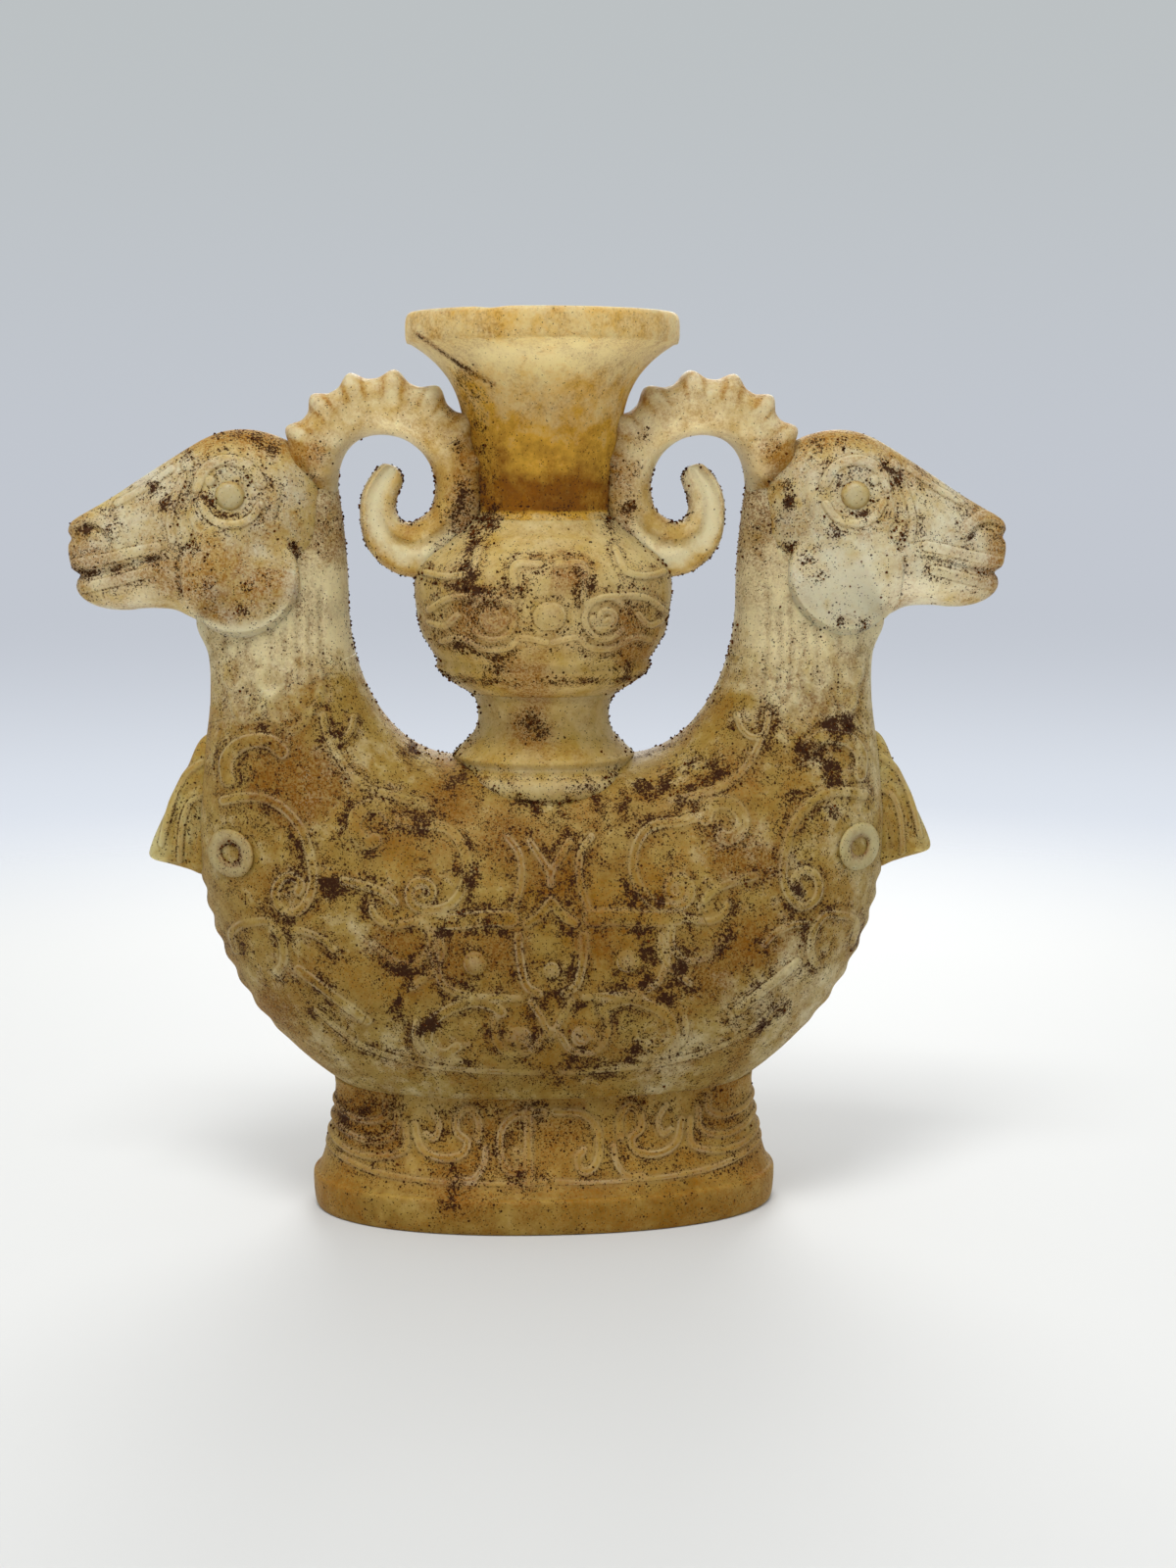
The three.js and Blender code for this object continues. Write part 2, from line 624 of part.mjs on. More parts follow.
function addPiece(name, solid, material, mirrored = false) {
  const mesh = new THREE.Mesh(geometryOf(solid), material);
  mesh.name = name;
  if (mirrored) mesh.scale.x = -1;
  vessel.add(mesh);
}

addPiece("foot", footSolid(), footGlass);
addPiece("belly", bellySolid(), bellyGlass);
addPiece("vase_stem", stemSolid(), vaseGlass);
addPiece("vase_globe", lathe(onAxis(globeProfile())), vaseGlass);
addPiece("vase_trumpet", trumpetSolid(), vaseGlass);

const [neck, head, horn, fin] = [neckSolid(), headSolid(), hornSolid(), finSolid()];
for (const [hand, mirrored] of [["left", true], ["right", false]]) {
  addPiece(`${hand}_neck`, neck, headGlass, mirrored);
  addPiece(`${hand}_head`, head, headGlass, mirrored);
  addPiece(`${hand}_horn`, horn, hornGlass, mirrored);
  addPiece(`${hand}_breast_fin`, fin, bossGlass, mirrored);
}
for (const [face, side] of [["front", -1], ["back", 1]]) {
  const [eye, boss] = [eyeSolid(side), bossSolid(side)];
  for (const [hand, mirrored] of [["left", true], ["right", false]]) {
    addPiece(`${hand}_eye_${face}`, eye, bossGlass, mirrored);
    addPiece(`${hand}_shoulder_boss_${face}`, boss, bossGlass, mirrored);
  }
}

export default vessel;
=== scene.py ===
"""A double-ram vase in frosted cast glass, tan and amber, with the brown soil it lay in still on it.

Shapes are worked out in millimetres from the middle of the foot's underside and put in as metres.
"""

import bmesh
import bpy
import numpy as np
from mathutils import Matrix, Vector


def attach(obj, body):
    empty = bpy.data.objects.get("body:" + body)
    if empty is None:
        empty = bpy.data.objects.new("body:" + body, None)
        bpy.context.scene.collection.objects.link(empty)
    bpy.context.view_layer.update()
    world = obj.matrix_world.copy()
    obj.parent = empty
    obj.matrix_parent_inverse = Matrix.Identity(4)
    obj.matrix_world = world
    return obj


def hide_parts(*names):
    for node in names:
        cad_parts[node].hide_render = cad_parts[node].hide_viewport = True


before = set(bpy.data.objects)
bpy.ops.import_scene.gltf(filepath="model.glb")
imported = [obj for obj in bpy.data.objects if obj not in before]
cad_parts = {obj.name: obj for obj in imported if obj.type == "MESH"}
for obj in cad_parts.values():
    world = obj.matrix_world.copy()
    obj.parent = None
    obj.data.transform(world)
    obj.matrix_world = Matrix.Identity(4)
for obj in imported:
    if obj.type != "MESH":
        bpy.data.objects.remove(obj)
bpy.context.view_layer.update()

# The foot: a hollow oval stand of frosted glass with a plain band round its base and cast scrolls on its
# sides. It is luted under the belly, and the whole vessel stands on its lower edge.
millimetre = 0.001
foot_height = 22.0
foot_band_height = 6.0
foot_band_lip = 1.1
foot_base_half_width = 39.7
foot_base_half_depth = 22.6
foot_waist_half_width = 35.9
foot_waist_half_depth = 16.3
foot_wall = 5.0
foot_power = 2.2
foot_turns = 420
edge_reach = 3.0


def mix(first, second, share):
    """The value that lies `share` of the way from the first to the second."""
    return first + (second - first) * share


def smooth(share):
    """A soft step: 3 s^2 - 2 s^3, for s held between 0 and 1."""
    share = np.clip(share, 0, 1)
    return share * share * (3 - 2 * share)


def through(points, places):
    """Points on the smooth curve through `points` (Catmull-Rom), at places counted in stretches of it."""
    points = np.asarray(points, float)
    held = np.vstack([2 * points[0] - points[1], points, 2 * points[-1] - points[-2]])
    first = np.clip(np.floor(places).astype(int), 0, len(points) - 2)
    t = (places - first)[:, None]
    a, b, c, d = (held[first + k] for k in range(4))
    return 0.5 * (2 * b + (c - a) * t + (2 * a - 5 * b + 4 * c - d) * t**2 + (3 * b - a - 3 * c + d) * t**3)


def drawn(points, fineness=8):
    """A smooth line through given points, with `fineness` short stretches between each two."""
    return through(points, np.linspace(0, len(points) - 1, fineness * (len(points) - 1) + 1))


def distance_to(line, x, z):
    """How far each place is from a line: the least distance to the nearest points of its stretches."""
    place = np.stack([x, z], -1)[:, None, :]
    start, span = line[:-1], np.diff(line, axis=0)
    share = ((place - start) * span).sum(-1) / ((span**2).sum(-1) + 1e-9)
    nearest = start + np.clip(share, 0, 1)[..., None] * span
    return np.sqrt(((place - nearest) ** 2).sum(-1)).min(-1)


def cast_relief(x, z, strokes, studs=()):
    """Height of a low relief at places x, z of a piece's front, with marks of wear, soil and edges.

    A stroke is a half width, a rise and points: a flat band along the line, or a groove where the rise is
    below zero, with sides that are soft steps. A stud is a place, a radius and a rise: a dome, the square
    root of 1 - r^2. The mark "worn" is a pale bell over the band's edge and over the stud's top, for wear
    and for a painted highlight, and "soil" a bell just outside the band or in the middle of the groove.
    "edge" is the distance out from the nearest band's edge, in millimetres.
    """
    raised, sunk, wear_and_highlight, soil = (np.zeros(x.shape) for _ in range(4))
    edge = np.full(x.shape, edge_reach)
    reach = 2
    softness = 0.3
    settled = 0.8
    full_rise = 0.4
    for half_width, rise, points in strokes:
        line = drawn(points)
        low = line.min(0) - half_width - reach
        high = line.max(0) + half_width + reach
        near = (x > low[0]) & (x < high[0]) & (z > low[1]) & (z < high[1])
        if not near.any():
            continue
        away = distance_to(line, x[near], z[near])
        height = settled * rise * smooth((half_width + softness - away) / (2 * softness))
        raised[near] = np.maximum(raised[near], height)
        sunk[near] = np.minimum(sunk[near], height)
        strength = min(1.0, abs(rise) / full_rise)
        # A pale bell over the band's edge: wear, and a painted highlight on it.
        wear_and_highlight[near] = np.maximum(wear_and_highlight[near], 0.15 * strength * np.exp(-(((away - half_width) / 0.28) ** 2)))
        soil_line = half_width + 0.8 if rise > 0 else 0
        soil[near] = np.maximum(soil[near], strength * np.exp(-(((away - soil_line) / 0.6) ** 2)))
        if rise > 0:
            edge[near] = np.minimum(edge[near], away - half_width)
    for stud_x, stud_z, radius, rise in studs:
        distance = np.hypot(x - stud_x, z - stud_z)
        away = distance / radius
        raised = np.maximum(raised, rise * np.sqrt(np.clip(1 - away**2, 0, 1)))
        # A pale dome top: wear, and a painted highlight on it.
        wear_and_highlight = np.maximum(wear_and_highlight, 0.3 * np.exp(-((away / 0.6) ** 4)))
        soil = np.maximum(soil, np.exp(-(((away - 1.35) / 0.25) ** 2)))
        edge = np.minimum(edge, distance - radius)
    return raised + sunk, {"wear_and_highlight": wear_and_highlight, "soil": soil * (1 - 0.8 * (raised > 0.2)), "edge": edge}


def patches(x, z, spots):
    """The sum of round clouds with soft sides, each a place, a radius and a strength."""
    total = np.zeros(x.shape)
    for spot_x, spot_z, radius, strength in spots:
        total += strength * np.exp(-(((x - spot_x) ** 2 + (z - spot_z) ** 2) / radius**2))
    return total


def grid_faces(rows, columns, round_rows=False, round_columns=True):
    """Quads between neighbouring points of a grid, whose last row or column may meet the first again."""
    row = np.arange(rows if round_rows else rows - 1)[:, None]
    column = np.arange(columns if round_columns else columns - 1)[None, :]
    beyond = (row + 1) % rows
    beside = (column + 1) % columns
    corners = [
        row * columns + column,
        row * columns + beside,
        beyond * columns + beside,
        beyond * columns + column,
    ]
    return np.stack(corners, -1).reshape(-1, 4)


def turned_outward(points, faces):
    """The same faces, all turned round where the volume inside them comes out below zero."""
    volume = 0.0
    for face in faces:
        for k in range(1, face.shape[1] - 1):
            corner = [points[face[:, column]] for column in (0, k, k + 1)]
            volume += (corner[0] * np.cross(corner[1], corner[2])).sum()
    return [face[:, ::-1] for face in faces] if volume < 0 else faces


def normals_of(points, faces):
    """Unit normals: the cross products of the diagonals of the faces round each point, added up."""
    total = np.zeros(points.shape)
    for face in faces:
        first_diagonal = points[face[:, 2]] - points[face[:, 0]]
        second_diagonal = points[face[:, -1]] - points[face[:, 1]]
        across = np.cross(first_diagonal, second_diagonal)
        for column in range(face.shape[1]):
            np.add.at(total, face[:, column], across)
    return total / np.maximum(np.linalg.norm(total, axis=1, keepdims=True), 1e-9)


soil_beds = []


def cast(name, finish, nodes, points, faces, marks, merge=False):
    """Puts a piece into the scene: points in metres, faces, and a number at each point for each mark."""
    mesh = bpy.data.meshes.new(name)
    mesh.from_pydata(points * millimetre, [], [row for face in faces for row in face.tolist()])
    for mark, values in ({"edge": edge_reach} | marks).items():
        layer = mesh.attributes.new(mark, "FLOAT", "POINT")
        layer.data.foreach_set("value", np.broadcast_to(values, len(points)).astype(np.float32))
    if merge:
        shell = bmesh.new()
        shell.from_mesh(mesh)
        bmesh.ops.remove_doubles(shell, verts=shell.verts, dist=0.001 * millimetre)
        shell.to_mesh(mesh)
        shell.free()
    mesh.validate()
    mesh.shade_smooth()
    mesh.materials.append(finish)
    piece = bpy.data.objects.new(name, mesh)
    bpy.context.scene.collection.objects.link(piece)
    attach(piece, "root")
    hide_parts(*nodes)
    soil_beds.append((points, normals_of(points, faces), np.broadcast_to(marks["soil"], len(points))))


def paint(red, green, blue):
    """A colour given as it looks on a screen, 0 to 255, turned into the light it sends back."""
    share = np.array([red, green, blue]) / 255
    linear = np.where(share < 0.04045, share / 12.92, ((share + 0.055) / 1.055) ** 2.4)
    return (*linear.tolist(), 1.0)


def node_in(tree, kind, inputs, **settings):
    """A shader node with its settings and inputs: an input is a number, a colour or another node's output."""
    node = tree.nodes.new("ShaderNode" + kind)
    for name, value in settings.items():
        setattr(node, name, value)
    for name, value in inputs.items():
        if isinstance(value, bpy.types.NodeSocket):
            tree.links.new(value, node.inputs[name])
        else:
            node.inputs[name].default_value = value
    return node


def between(tree, share, first, second):
    """The colour that lies `share` of the way from the first colour to the second."""
    return node_in(tree, "Mix", {0: share, 6: first, 7: second}, data_type="RGBA").outputs[2]


def worked(tree, operation, first, second, clamp=False):
    """One step of arithmetic on two values."""
    return node_in(tree, "Math", {0: first, 1: second}, operation=operation, use_clamp=clamp).outputs[0]


def product(tree, first, *others):
    """The product of two or more values."""
    for value in others:
        first = worked(tree, "MULTIPLY", first, value)
    return first


def scaled(tree, value, factor, plus):
    """The value times a factor, plus another value."""
    return node_in(tree, "Math", {0: value, 1: factor, 2: plus}, operation="MULTIPLY_ADD").outputs[0]


def stepped(tree, value, low, high):
    """0 where the value is under `low`, 1 over `high`, and a soft step between."""
    inputs = {"Value": value, "From Min": low, "From Max": high}
    return node_in(tree, "MapRange", inputs, interpolation_type="SMOOTHSTEP").outputs[0]


def noise(tree, place, scale, detail=3.0, roughness=0.55):
    """Cloudy noise from 0 to 1 with `scale` clouds to the metre."""
    inputs = {"Vector": place, "Scale": scale, "Detail": detail, "Roughness": roughness}
    return node_in(tree, "TexNoise", inputs).outputs[0]


def specks(tree, place, scale, density, size):
    """Round specks: cells `scale` to the metre, of which the density says how many hold a speck."""
    cells = node_in(tree, "TexVoronoi", {"Vector": place, "Scale": scale})
    chosen = node_in(tree, "SeparateColor", {"Color": cells.outputs["Color"]}).outputs[0]
    lot = stepped(tree, worked(tree, "SUBTRACT", density, chosen), 0.0, 0.03)
    middle = stepped(tree, cells.outputs["Distance"], size, size * 0.75)
    return product(tree, lot, middle)


soil_brown = paint(48, 18, 2)
gold_stain = paint(162, 104, 0)
# The pale of wear, which is also painted on as highlights.
wear_and_highlight_pale = paint(232, 222, 184)


def frosted_glass(name, thin, middle, thick, rust, rusting, speckling, clearness, staining=0.55,
                  roughness=0.5):
    """Frosted cast glass, stained by soil.

    Where the glass is thick ("tone") or a cloud of noise lies, its colour goes from thin over middle to
    thick. A golden stain of fine grain lies in zones, and rust where old stains are marked and round the
    soil. Relief has a pale line inside its edge, a painted highlight broken here and there, and a dark one
    outside it, painted shade with soil caught in it, both from the distance "edge". Dark specks, round ones
    and ragged ones, crowd together where soil is caught. Light spreads inside the glass. The last five values
    say how strongly it rusts, how many specks it has, how much light passes its thin places, how strong the
    golden stain is, and how rough the frosting is.
    """
    material = bpy.data.materials.new(name)
    material.use_nodes = True
    tree = material.node_tree
    tree.nodes.clear()
    place = node_in(tree, "TexCoord", {}).outputs["Object"]
    mark = {key: node_in(tree, "Attribute", {}, attribute_name=key).outputs["Fac"] for key in
            ("tone", "wear_and_highlight", "soil", "rust", "edge")}

    # The glass's own colour, by its thickness and by clouds and streaks in it.
    streak = noise(tree, place, 330.0, 4.0, 0.7)
    lean = scaled(tree, noise(tree, place, 60.0, 5.0, 0.6), 1.3, -0.65)
    fine_lean = scaled(tree, streak, 1.2, -0.6)
    depth = worked(tree, "ADD", worked(tree, "ADD", mark["tone"], lean), fine_lean, clamp=True)
    first_half = node_in(tree, "MapRange", {"Value": depth, "From Max": 0.5}).outputs[0]
    second_half = node_in(tree, "MapRange", {"Value": depth, "From Min": 0.5}).outputs[0]
    glass = between(tree, second_half, between(tree, first_half, thin, middle), thick)

    # The golden stain: grains in zones, weakest on pale glass unless old rust is marked there.
    grain = stepped(tree, noise(tree, place, 2400.0, 3.0, 0.7), 0.44, 0.58)
    zones = stepped(tree, scaled(tree, mark["rust"], 0.2, noise(tree, place, 115.0, 6.0, 0.7)), 0.47, 0.67)
    stained = node_in(tree, "MapRange", {"Value": depth, "From Max": 0.6, "To Min": 0.25}).outputs[0]
    golden = product(tree, scaled(tree, grain, 0.85, 0.15), zones, staining)
    golden = worked(tree, "MULTIPLY", golden, worked(tree, "MAXIMUM", stained, mark["rust"]), clamp=True)
    glass = between(tree, golden, glass, gold_stain)

    # Soil is caught where it is marked and in the line of painted shade beside relief, and it rusts the glass
    # round it.
    shade_and_soil_line = product(tree, stepped(tree, mark["edge"], -0.05, 0.1), stepped(tree, mark["edge"], 0.5, 0.2))
    crowd = stepped(tree, noise(tree, place, 210.0, 6.0, 0.74), 0.38, 0.68)
    caught = worked(tree, "MAXIMUM", mark["soil"], product(tree, shade_and_soil_line, 0.45))
    caught = product(tree, caught, worked(tree, "ADD", crowd, 0.2))
    density = worked(tree, "ADD", product(tree, crowd, speckling, stained), caught, clamp=True)
    rusted = scaled(tree, mark["rust"], 0.4, noise(tree, place, 190.0, 6.0, 0.75))
    rusted = product(tree, stepped(tree, rusted, 0.5, 0.9), rusting)
    halo = product(tree, stepped(tree, density, 0.15, 0.7), 0.8)
    rusted = product(tree, worked(tree, "MAXIMUM", rusted, halo), scaled(tree, grain, 0.6, 0.4))
    glass = between(tree, rusted, glass, rust)
    # Painted shade: the glass in the line beside the relief is darkened towards the thick colour.
    glass = between(tree, product(tree, shade_and_soil_line, 0.4), glass, thick)

    # Worn places are pale, from wear and from painted highlights, and a line just inside the relief's edge,
    # kept in parts only, is painted pale as a highlight.
    inside = product(tree, stepped(tree, mark["edge"], 0.05, -0.1), stepped(tree, mark["edge"], -0.5, -0.25))
    kept = stepped(tree, noise(tree, place, 95.0, 3.0, 0.6), 0.38, 0.6)
    highlight_line = product(tree, inside, stepped(tree, streak, 0.35, 0.6), kept)
    wear_and_highlight = scaled(tree, mark["wear_and_highlight"], 0.5, product(tree, highlight_line, 0.2))
    glass = between(tree, wear_and_highlight, glass, wear_and_highlight_pale)

    # The specks of soil, in three sizes.
    scattered = scaled(tree, stained, speckling * 0.3, density)
    small = specks(tree, place, 3600.0, scattered, 0.46)
    large = specks(tree, place, 1700.0, product(tree, density, 0.7), 0.42)
    ragged = stepped(tree, scaled(tree, density, 0.27, noise(tree, place, 2300.0, 4.0, 0.7)), 0.62, 0.69)
    dirt = worked(tree, "MAXIMUM", worked(tree, "MAXIMUM", small, large), ragged)
    colour = between(tree, product(tree, dirt, 0.97), glass, soil_brown)

    # The frosting's fine bumps, with the specks and the relief's edges standing out of it.
    height = scaled(tree, dirt, 0.5, noise(tree, place, 1500.0, 3.0, 0.6))
    stair = product(tree, stepped(tree, mark["edge"], 0.2, -0.2), worked(tree, "ADD", kept, 0.3))
    height = scaled(tree, stair, 0.6, height)
    bump = node_in(tree, "Bump", {"Height": height, "Strength": 0.4, "Distance": 0.00015}).outputs[0]

    # Soil and rust are dry, and clear glass shines through least where it is thick or dirty.
    dullness = {"Value": worked(tree, "MAXIMUM", dirt, rusted), "To Min": roughness, "To Max": 0.85}
    blocked = {"Value": worked(tree, "MAXIMUM", dirt, depth), "To Min": clearness, "To Max": clearness * 0.4}
    shader = node_in(tree, "BsdfPrincipled", {
        "Base Color": colour,
        "Roughness": node_in(tree, "MapRange", dullness).outputs[0],
        "Transmission Weight": node_in(tree, "MapRange", blocked).outputs[0],
        "Subsurface Weight": 0.5,
        "Subsurface Radius": (1.0, 0.7, 0.4),
        "Subsurface Scale": 0.0012,
        "IOR": 1.45,
        "Specular IOR Level": 0.1,
        "Sheen Weight": 0.08,
        "Sheen Roughness": 0.4,
        "Sheen Tint": (1.0, 0.93, 0.76, 1.0),
        "Normal": bump,
    })
    node_in(tree, "OutputMaterial", {"Surface": shader.outputs[0]})
    return material


def foot_levels():
    """Height and half sizes of the ovals, round the wall: band, waist, top, hollow and underside.

    Over the waist the half sizes shrink evenly with the sine of a quarter turn.
    """
    band = drawn([
        (0, 38.7, 21.6),
        (0.25, 39.2, 22.1),
        (1.4, 39.5, 22.4),
        (3.6, 39.7, 22.6),
        (5.4, 39.7, 22.6),
        (5.9, 39.4, 22.3),
        (6.1, 38.8, 21.7),
    ], 3)
    share = np.linspace(0, 1, 64)
    waist = np.stack([
        mix(foot_band_height + 0.6 * foot_band_lip, foot_height, share),
        mix(foot_base_half_width - foot_band_lip, foot_waist_half_width, np.sin(share * np.pi / 2)),
        mix(foot_base_half_depth - foot_band_lip, foot_waist_half_depth, np.sin(share * np.pi / 2)),
    ], -1)
    base_wall = foot_wall + foot_band_lip
    hollow = drawn([
        (foot_height, foot_waist_half_width - foot_wall, foot_waist_half_depth - foot_wall),
        (14, 32.4, 14),
        (foot_band_height, foot_base_half_width - base_wall, foot_base_half_depth - base_wall),
        (0, foot_base_half_width - base_wall, foot_base_half_depth - base_wall),
    ], 6)
    return np.vstack([band, waist, hollow])


def oval_stack(levels, turns, power):
    """Stacked ovals: x = half width * cos^(2/power) and y = half depth * sin^(2/power), with their signs."""
    angle = np.arange(turns) / turns * 2 * np.pi
    c, s = np.cos(angle), np.sin(angle)
    height, half_x, half_y = levels.T
    x = np.outer(half_x, np.sign(c) * np.abs(c) ** (2 / power))
    y = np.outer(half_y, np.sign(s) * np.abs(s) ** (2 / power))
    return np.stack([x, y, np.broadcast_to(height[:, None], x.shape)], -1)


foot_scrolls = [
    (0.5, 0.5, [(27, 20), (27.2, 17.8), (30, 16.7), (33.5, 17), (36.5, 18.4)]),
    (0.5, 0.5, [(25.2, 18.5), (25.6, 15.2), (29, 13.7), (33, 14), (37, 15.8)]),
    (0.5, 0.5, [(23.8, 17), (24, 12.9), (28.5, 11.3), (33, 11.4), (37.5, 13)]),
    (0.6, 0.5, [(11.8, 15), (11.7, 18), (13.3, 20), (15, 18.8), (15.3, 16.2), (13.6, 14.6), (14.6, 12.6),
                (18, 12), (21.2, 13.4), (22.2, 17)]),
    (0.5, 0.4, [(19.6, 19.6), (18.2, 17.2), (19, 15), (20.4, 15.6)]),
    (0.6, 0.45, [(0.8, 19.4), (5.4, 18.9), (7.8, 16.6), (8.2, 13), (7, 10.4), (5.2, 10.2), (4.6, 12),
                 (5.6, 13.2)]),
    (0.5, 0.4, [(15.4, 8.8), (12.6, 9.1), (10.9, 11.4), (10.6, 13.6)]),
    (0.45, 0.35, [(1, 8.6), (8, 8.2), (20, 8.4), (30, 9.2), (38, 11)]),
]
foot_ridge = [(0.7, 0.7, [(-3.4, 20), (-3.6, 14), (-3.5, 8.3)])]
foot_soil = [(-29, 20, 3.5, 1), (-32, 16, 3.5, 1), (-27, 14, 3, 0.8), (-15, 7, 3.5, 1), (-5, 10, 2.5, 0.8),
             (-9, 13, 2.5, 0.5), (30, 21, 3, 0.6), (28, 15, 3, 0.4), (15, 21, 2.5, 0.6), (1, 20, 6, 0.35),
             (-6, 20, 4, 0.5), (37, 9, 3, 0.4), (-13, 19, 3, 0.3)]

foot_glass = frosted_glass(
    "foot_glass",
    thin=paint(206, 180, 112),
    middle=paint(172, 140, 64),
    thick=paint(128, 96, 26),
    rust=paint(130, 76, 0),
    rusting=0.8,
    speckling=0.2,
    clearness=0.3,
)
rings = oval_stack(foot_levels(), foot_turns, foot_power)
points = rings.reshape(-1, 3)
faces = turned_outward(points, [grid_faces(len(rings), foot_turns, round_rows=True)])
x, y, z = points.T
front = np.where(y < 0, x, -x)
shown = smooth((z - foot_band_height - 0.8) / 1.5) * smooth((foot_height - z) / 1.5)
shown = shown * (np.hypot(x / foot_waist_half_width, y / foot_waist_half_depth) > 0.97)
height, scrolls = cast_relief(np.abs(front), z, foot_scrolls)
ridge_height, ridge = cast_relief(front, z, foot_ridge)
ground_depth = 0.15
height = np.maximum(height, ridge_height) - ground_depth
points = points + normals_of(points, faces) * (height * shown)[:, None]
dirt = patches(front, z, foot_soil)
marks = {
    "tone": 0.5 + 0.25 * smooth((14 - z) / 14),
    "wear_and_highlight": np.maximum(scrolls["wear_and_highlight"], ridge["wear_and_highlight"]) * shown,
    "soil": np.maximum(scrolls["soil"], ridge["soil"]) * 0.35 * shown + 0.6 * dirt,
    "rust": 0.35 + dirt,
    "edge": mix(edge_reach, np.minimum(scrolls["edge"], ridge["edge"]), shown),
}
cast("stand_foot", foot_glass, ["foot"], points, faces, marks)

# The belly: a crescent of thick cast glass, hollow from below, that rises at both ends into the rams'
# necks. Its front and back carry cast relief: a mask between two great scrolls, and hooked scrolls beside.
deck_height = 77.0
belly_half_width = 57.8
belly_half_depth = 24.5
belly_widest_height = 66.0
belly_wall = 5.0
saddle_half_width = 14.5
neck_inner_reach = 32.4
neck_outer_reach = 55.7
neck_elbow_height = 103.0
neck_top_height = 119.0
neck_half_depth = 9.8
neck_top_half_depth = 7.0
throat_flare = 1.9
throat_lean = 1.1
oval_foot_height = 12.0
crescent_power = 2.1
level_end, widest_at, belly_end, slim_at, elbow_at, neck_end = 2.4, 8.0, 10.0, 12.0, 12.1, 15.0
belly_stations = 400
front_columns, back_columns, hollow_columns = 125, 89, 21


def spiral(centre, outer, inner, start, turns):
    """Points on a coil: the angle runs `turns` full turns on from `start` while the radius falls evenly."""
    share = np.linspace(0, 1, 5 + int(8 * abs(turns)))
    angle = 2 * np.pi * (start + turns * share)
    radius = mix(outer, inner, share)
    return np.stack([centre[0] + radius * np.cos(angle), centre[1] + radius * np.sin(angle)], -1)


def inner_outline(station):
    """The crescent's upper line: level over the saddle, then a quarter ellipse, then up the throat."""
    turn = np.clip((station - level_end) / (elbow_at - level_end), 0, 1) * np.pi / 2
    above = np.maximum(station - elbow_at, 0) / (neck_end - elbow_at)
    level = np.minimum(station / level_end, 1) * saddle_half_width
    rise = neck_elbow_height - deck_height
    x = level + (neck_inner_reach - saddle_half_width) * np.sin(turn) + throat_lean * above**2
    z = neck_elbow_height - rise * np.cos(turn) + (neck_top_height - neck_elbow_height) * above
    return x, z


def outer_outline(station):
    """The crescent's lower line: a quarter of a full oval, then a smooth line up the neck's back."""
    turn = np.clip(station / widest_at, 0, 1) * np.pi / 2
    drop = belly_widest_height - oval_foot_height
    low_x = belly_half_width * np.sin(turn) ** (2 / crescent_power)
    low_z = belly_widest_height - drop * np.cos(turn) ** (2 / crescent_power)
    neck = [
        (0.995 * belly_half_width, 59.8),
        (belly_half_width, belly_widest_height),
        (57, 76),
        (neck_outer_reach, 85.6),
        (neck_outer_reach, 93.8),
        (neck_outer_reach + throat_flare, 100),
        (54.6, 107.8),
        (50.1, 114.2),
        (45.5, neck_top_height),
    ]
    high = through(neck, np.clip(1 + station - widest_at, 0, neck_end - belly_end + 3))
    low = station < widest_at
    return np.where(low, low_x, high[:, 0]), np.where(low, low_z, high[:, 1])


def crescent_half_depth(station):
    """Half the crescent's depth: a soft step from the belly's to the neck's, then an even taper."""
    along = np.clip(station / slim_at, 0, 1) ** 1.25
    body = mix(belly_half_depth, neck_half_depth, smooth(along))
    neck = mix(neck_half_depth, neck_top_half_depth, (station - slim_at) / (neck_end - slim_at))
    return np.where(station <= slim_at, body, neck)


def crescent_rings(stations, angles, grown=0.0):
    """Points of the crescent: at each station a superellipse |u|^p + |v|^p = 1 stands across it.

    The long axis of the superellipse runs from the inner outline (angle 0) to the outer one (angle pi), and
    its other axis is along Y. Angles are given for each station, and `grown` is added to both half sizes.
    """
    side = np.abs(stations)
    inner_x, inner_z = inner_outline(side)
    outer_x, outer_z = outer_outline(side)
    middle = np.stack([(inner_x + outer_x) / 2, (inner_z + outer_z) / 2])
    reach = np.stack([inner_x - outer_x, inner_z - outer_z]) / 2
    half = np.hypot(*reach)
    depth = crescent_half_depth(side) + grown
    c, s = np.cos(angles), np.sin(angles)
    u = np.sign(c) * np.abs(c) ** (2 / crescent_power) * ((half + grown) / half)[:, None]
    v = np.sign(s) * np.abs(s) ** (2 / crescent_power) * depth[:, None]
    x = (middle[0][:, None] + reach[0][:, None] * u) * np.sign(stations + 1e-12)[:, None]
    z = middle[1][:, None] + reach[1][:, None] * u
    return np.stack([x, -v, z], -1)


def cut_angles(stations, columns, height, grown=0.0):
    """Angles of each station's ring, from the cut at `height` on one side over the top to the other side.

    Where the ring doesn't reach down to the cut, the angles run all round, from pi to -pi. They lie a third
    closer over the middles of the front and back than at the edges.
    """
    side = np.abs(stations)
    inner_x, inner_z = inner_outline(side)
    outer_x, outer_z = outer_outline(side)
    half = np.hypot(inner_x - outer_x, inner_z - outer_z) / 2
    rise = (inner_z - outer_z) / 2 * (half + grown) / half
    share = ((inner_z + outer_z) / 2 - height) / rise
    widest = np.arccos(np.clip(-np.sign(share) * np.abs(share) ** (crescent_power / 2), -1, 1))
    return widest[:, None] * (columns + 0.35 * np.sin(2 * np.pi * columns) / (2 * np.pi))


def stations_through(low, high, count, breaks):
    """Evenly spaced stations from low to high with the break stations added."""
    return np.unique(np.concatenate([np.linspace(low, high, count), breaks, -np.asarray(breaks)]).round(6))


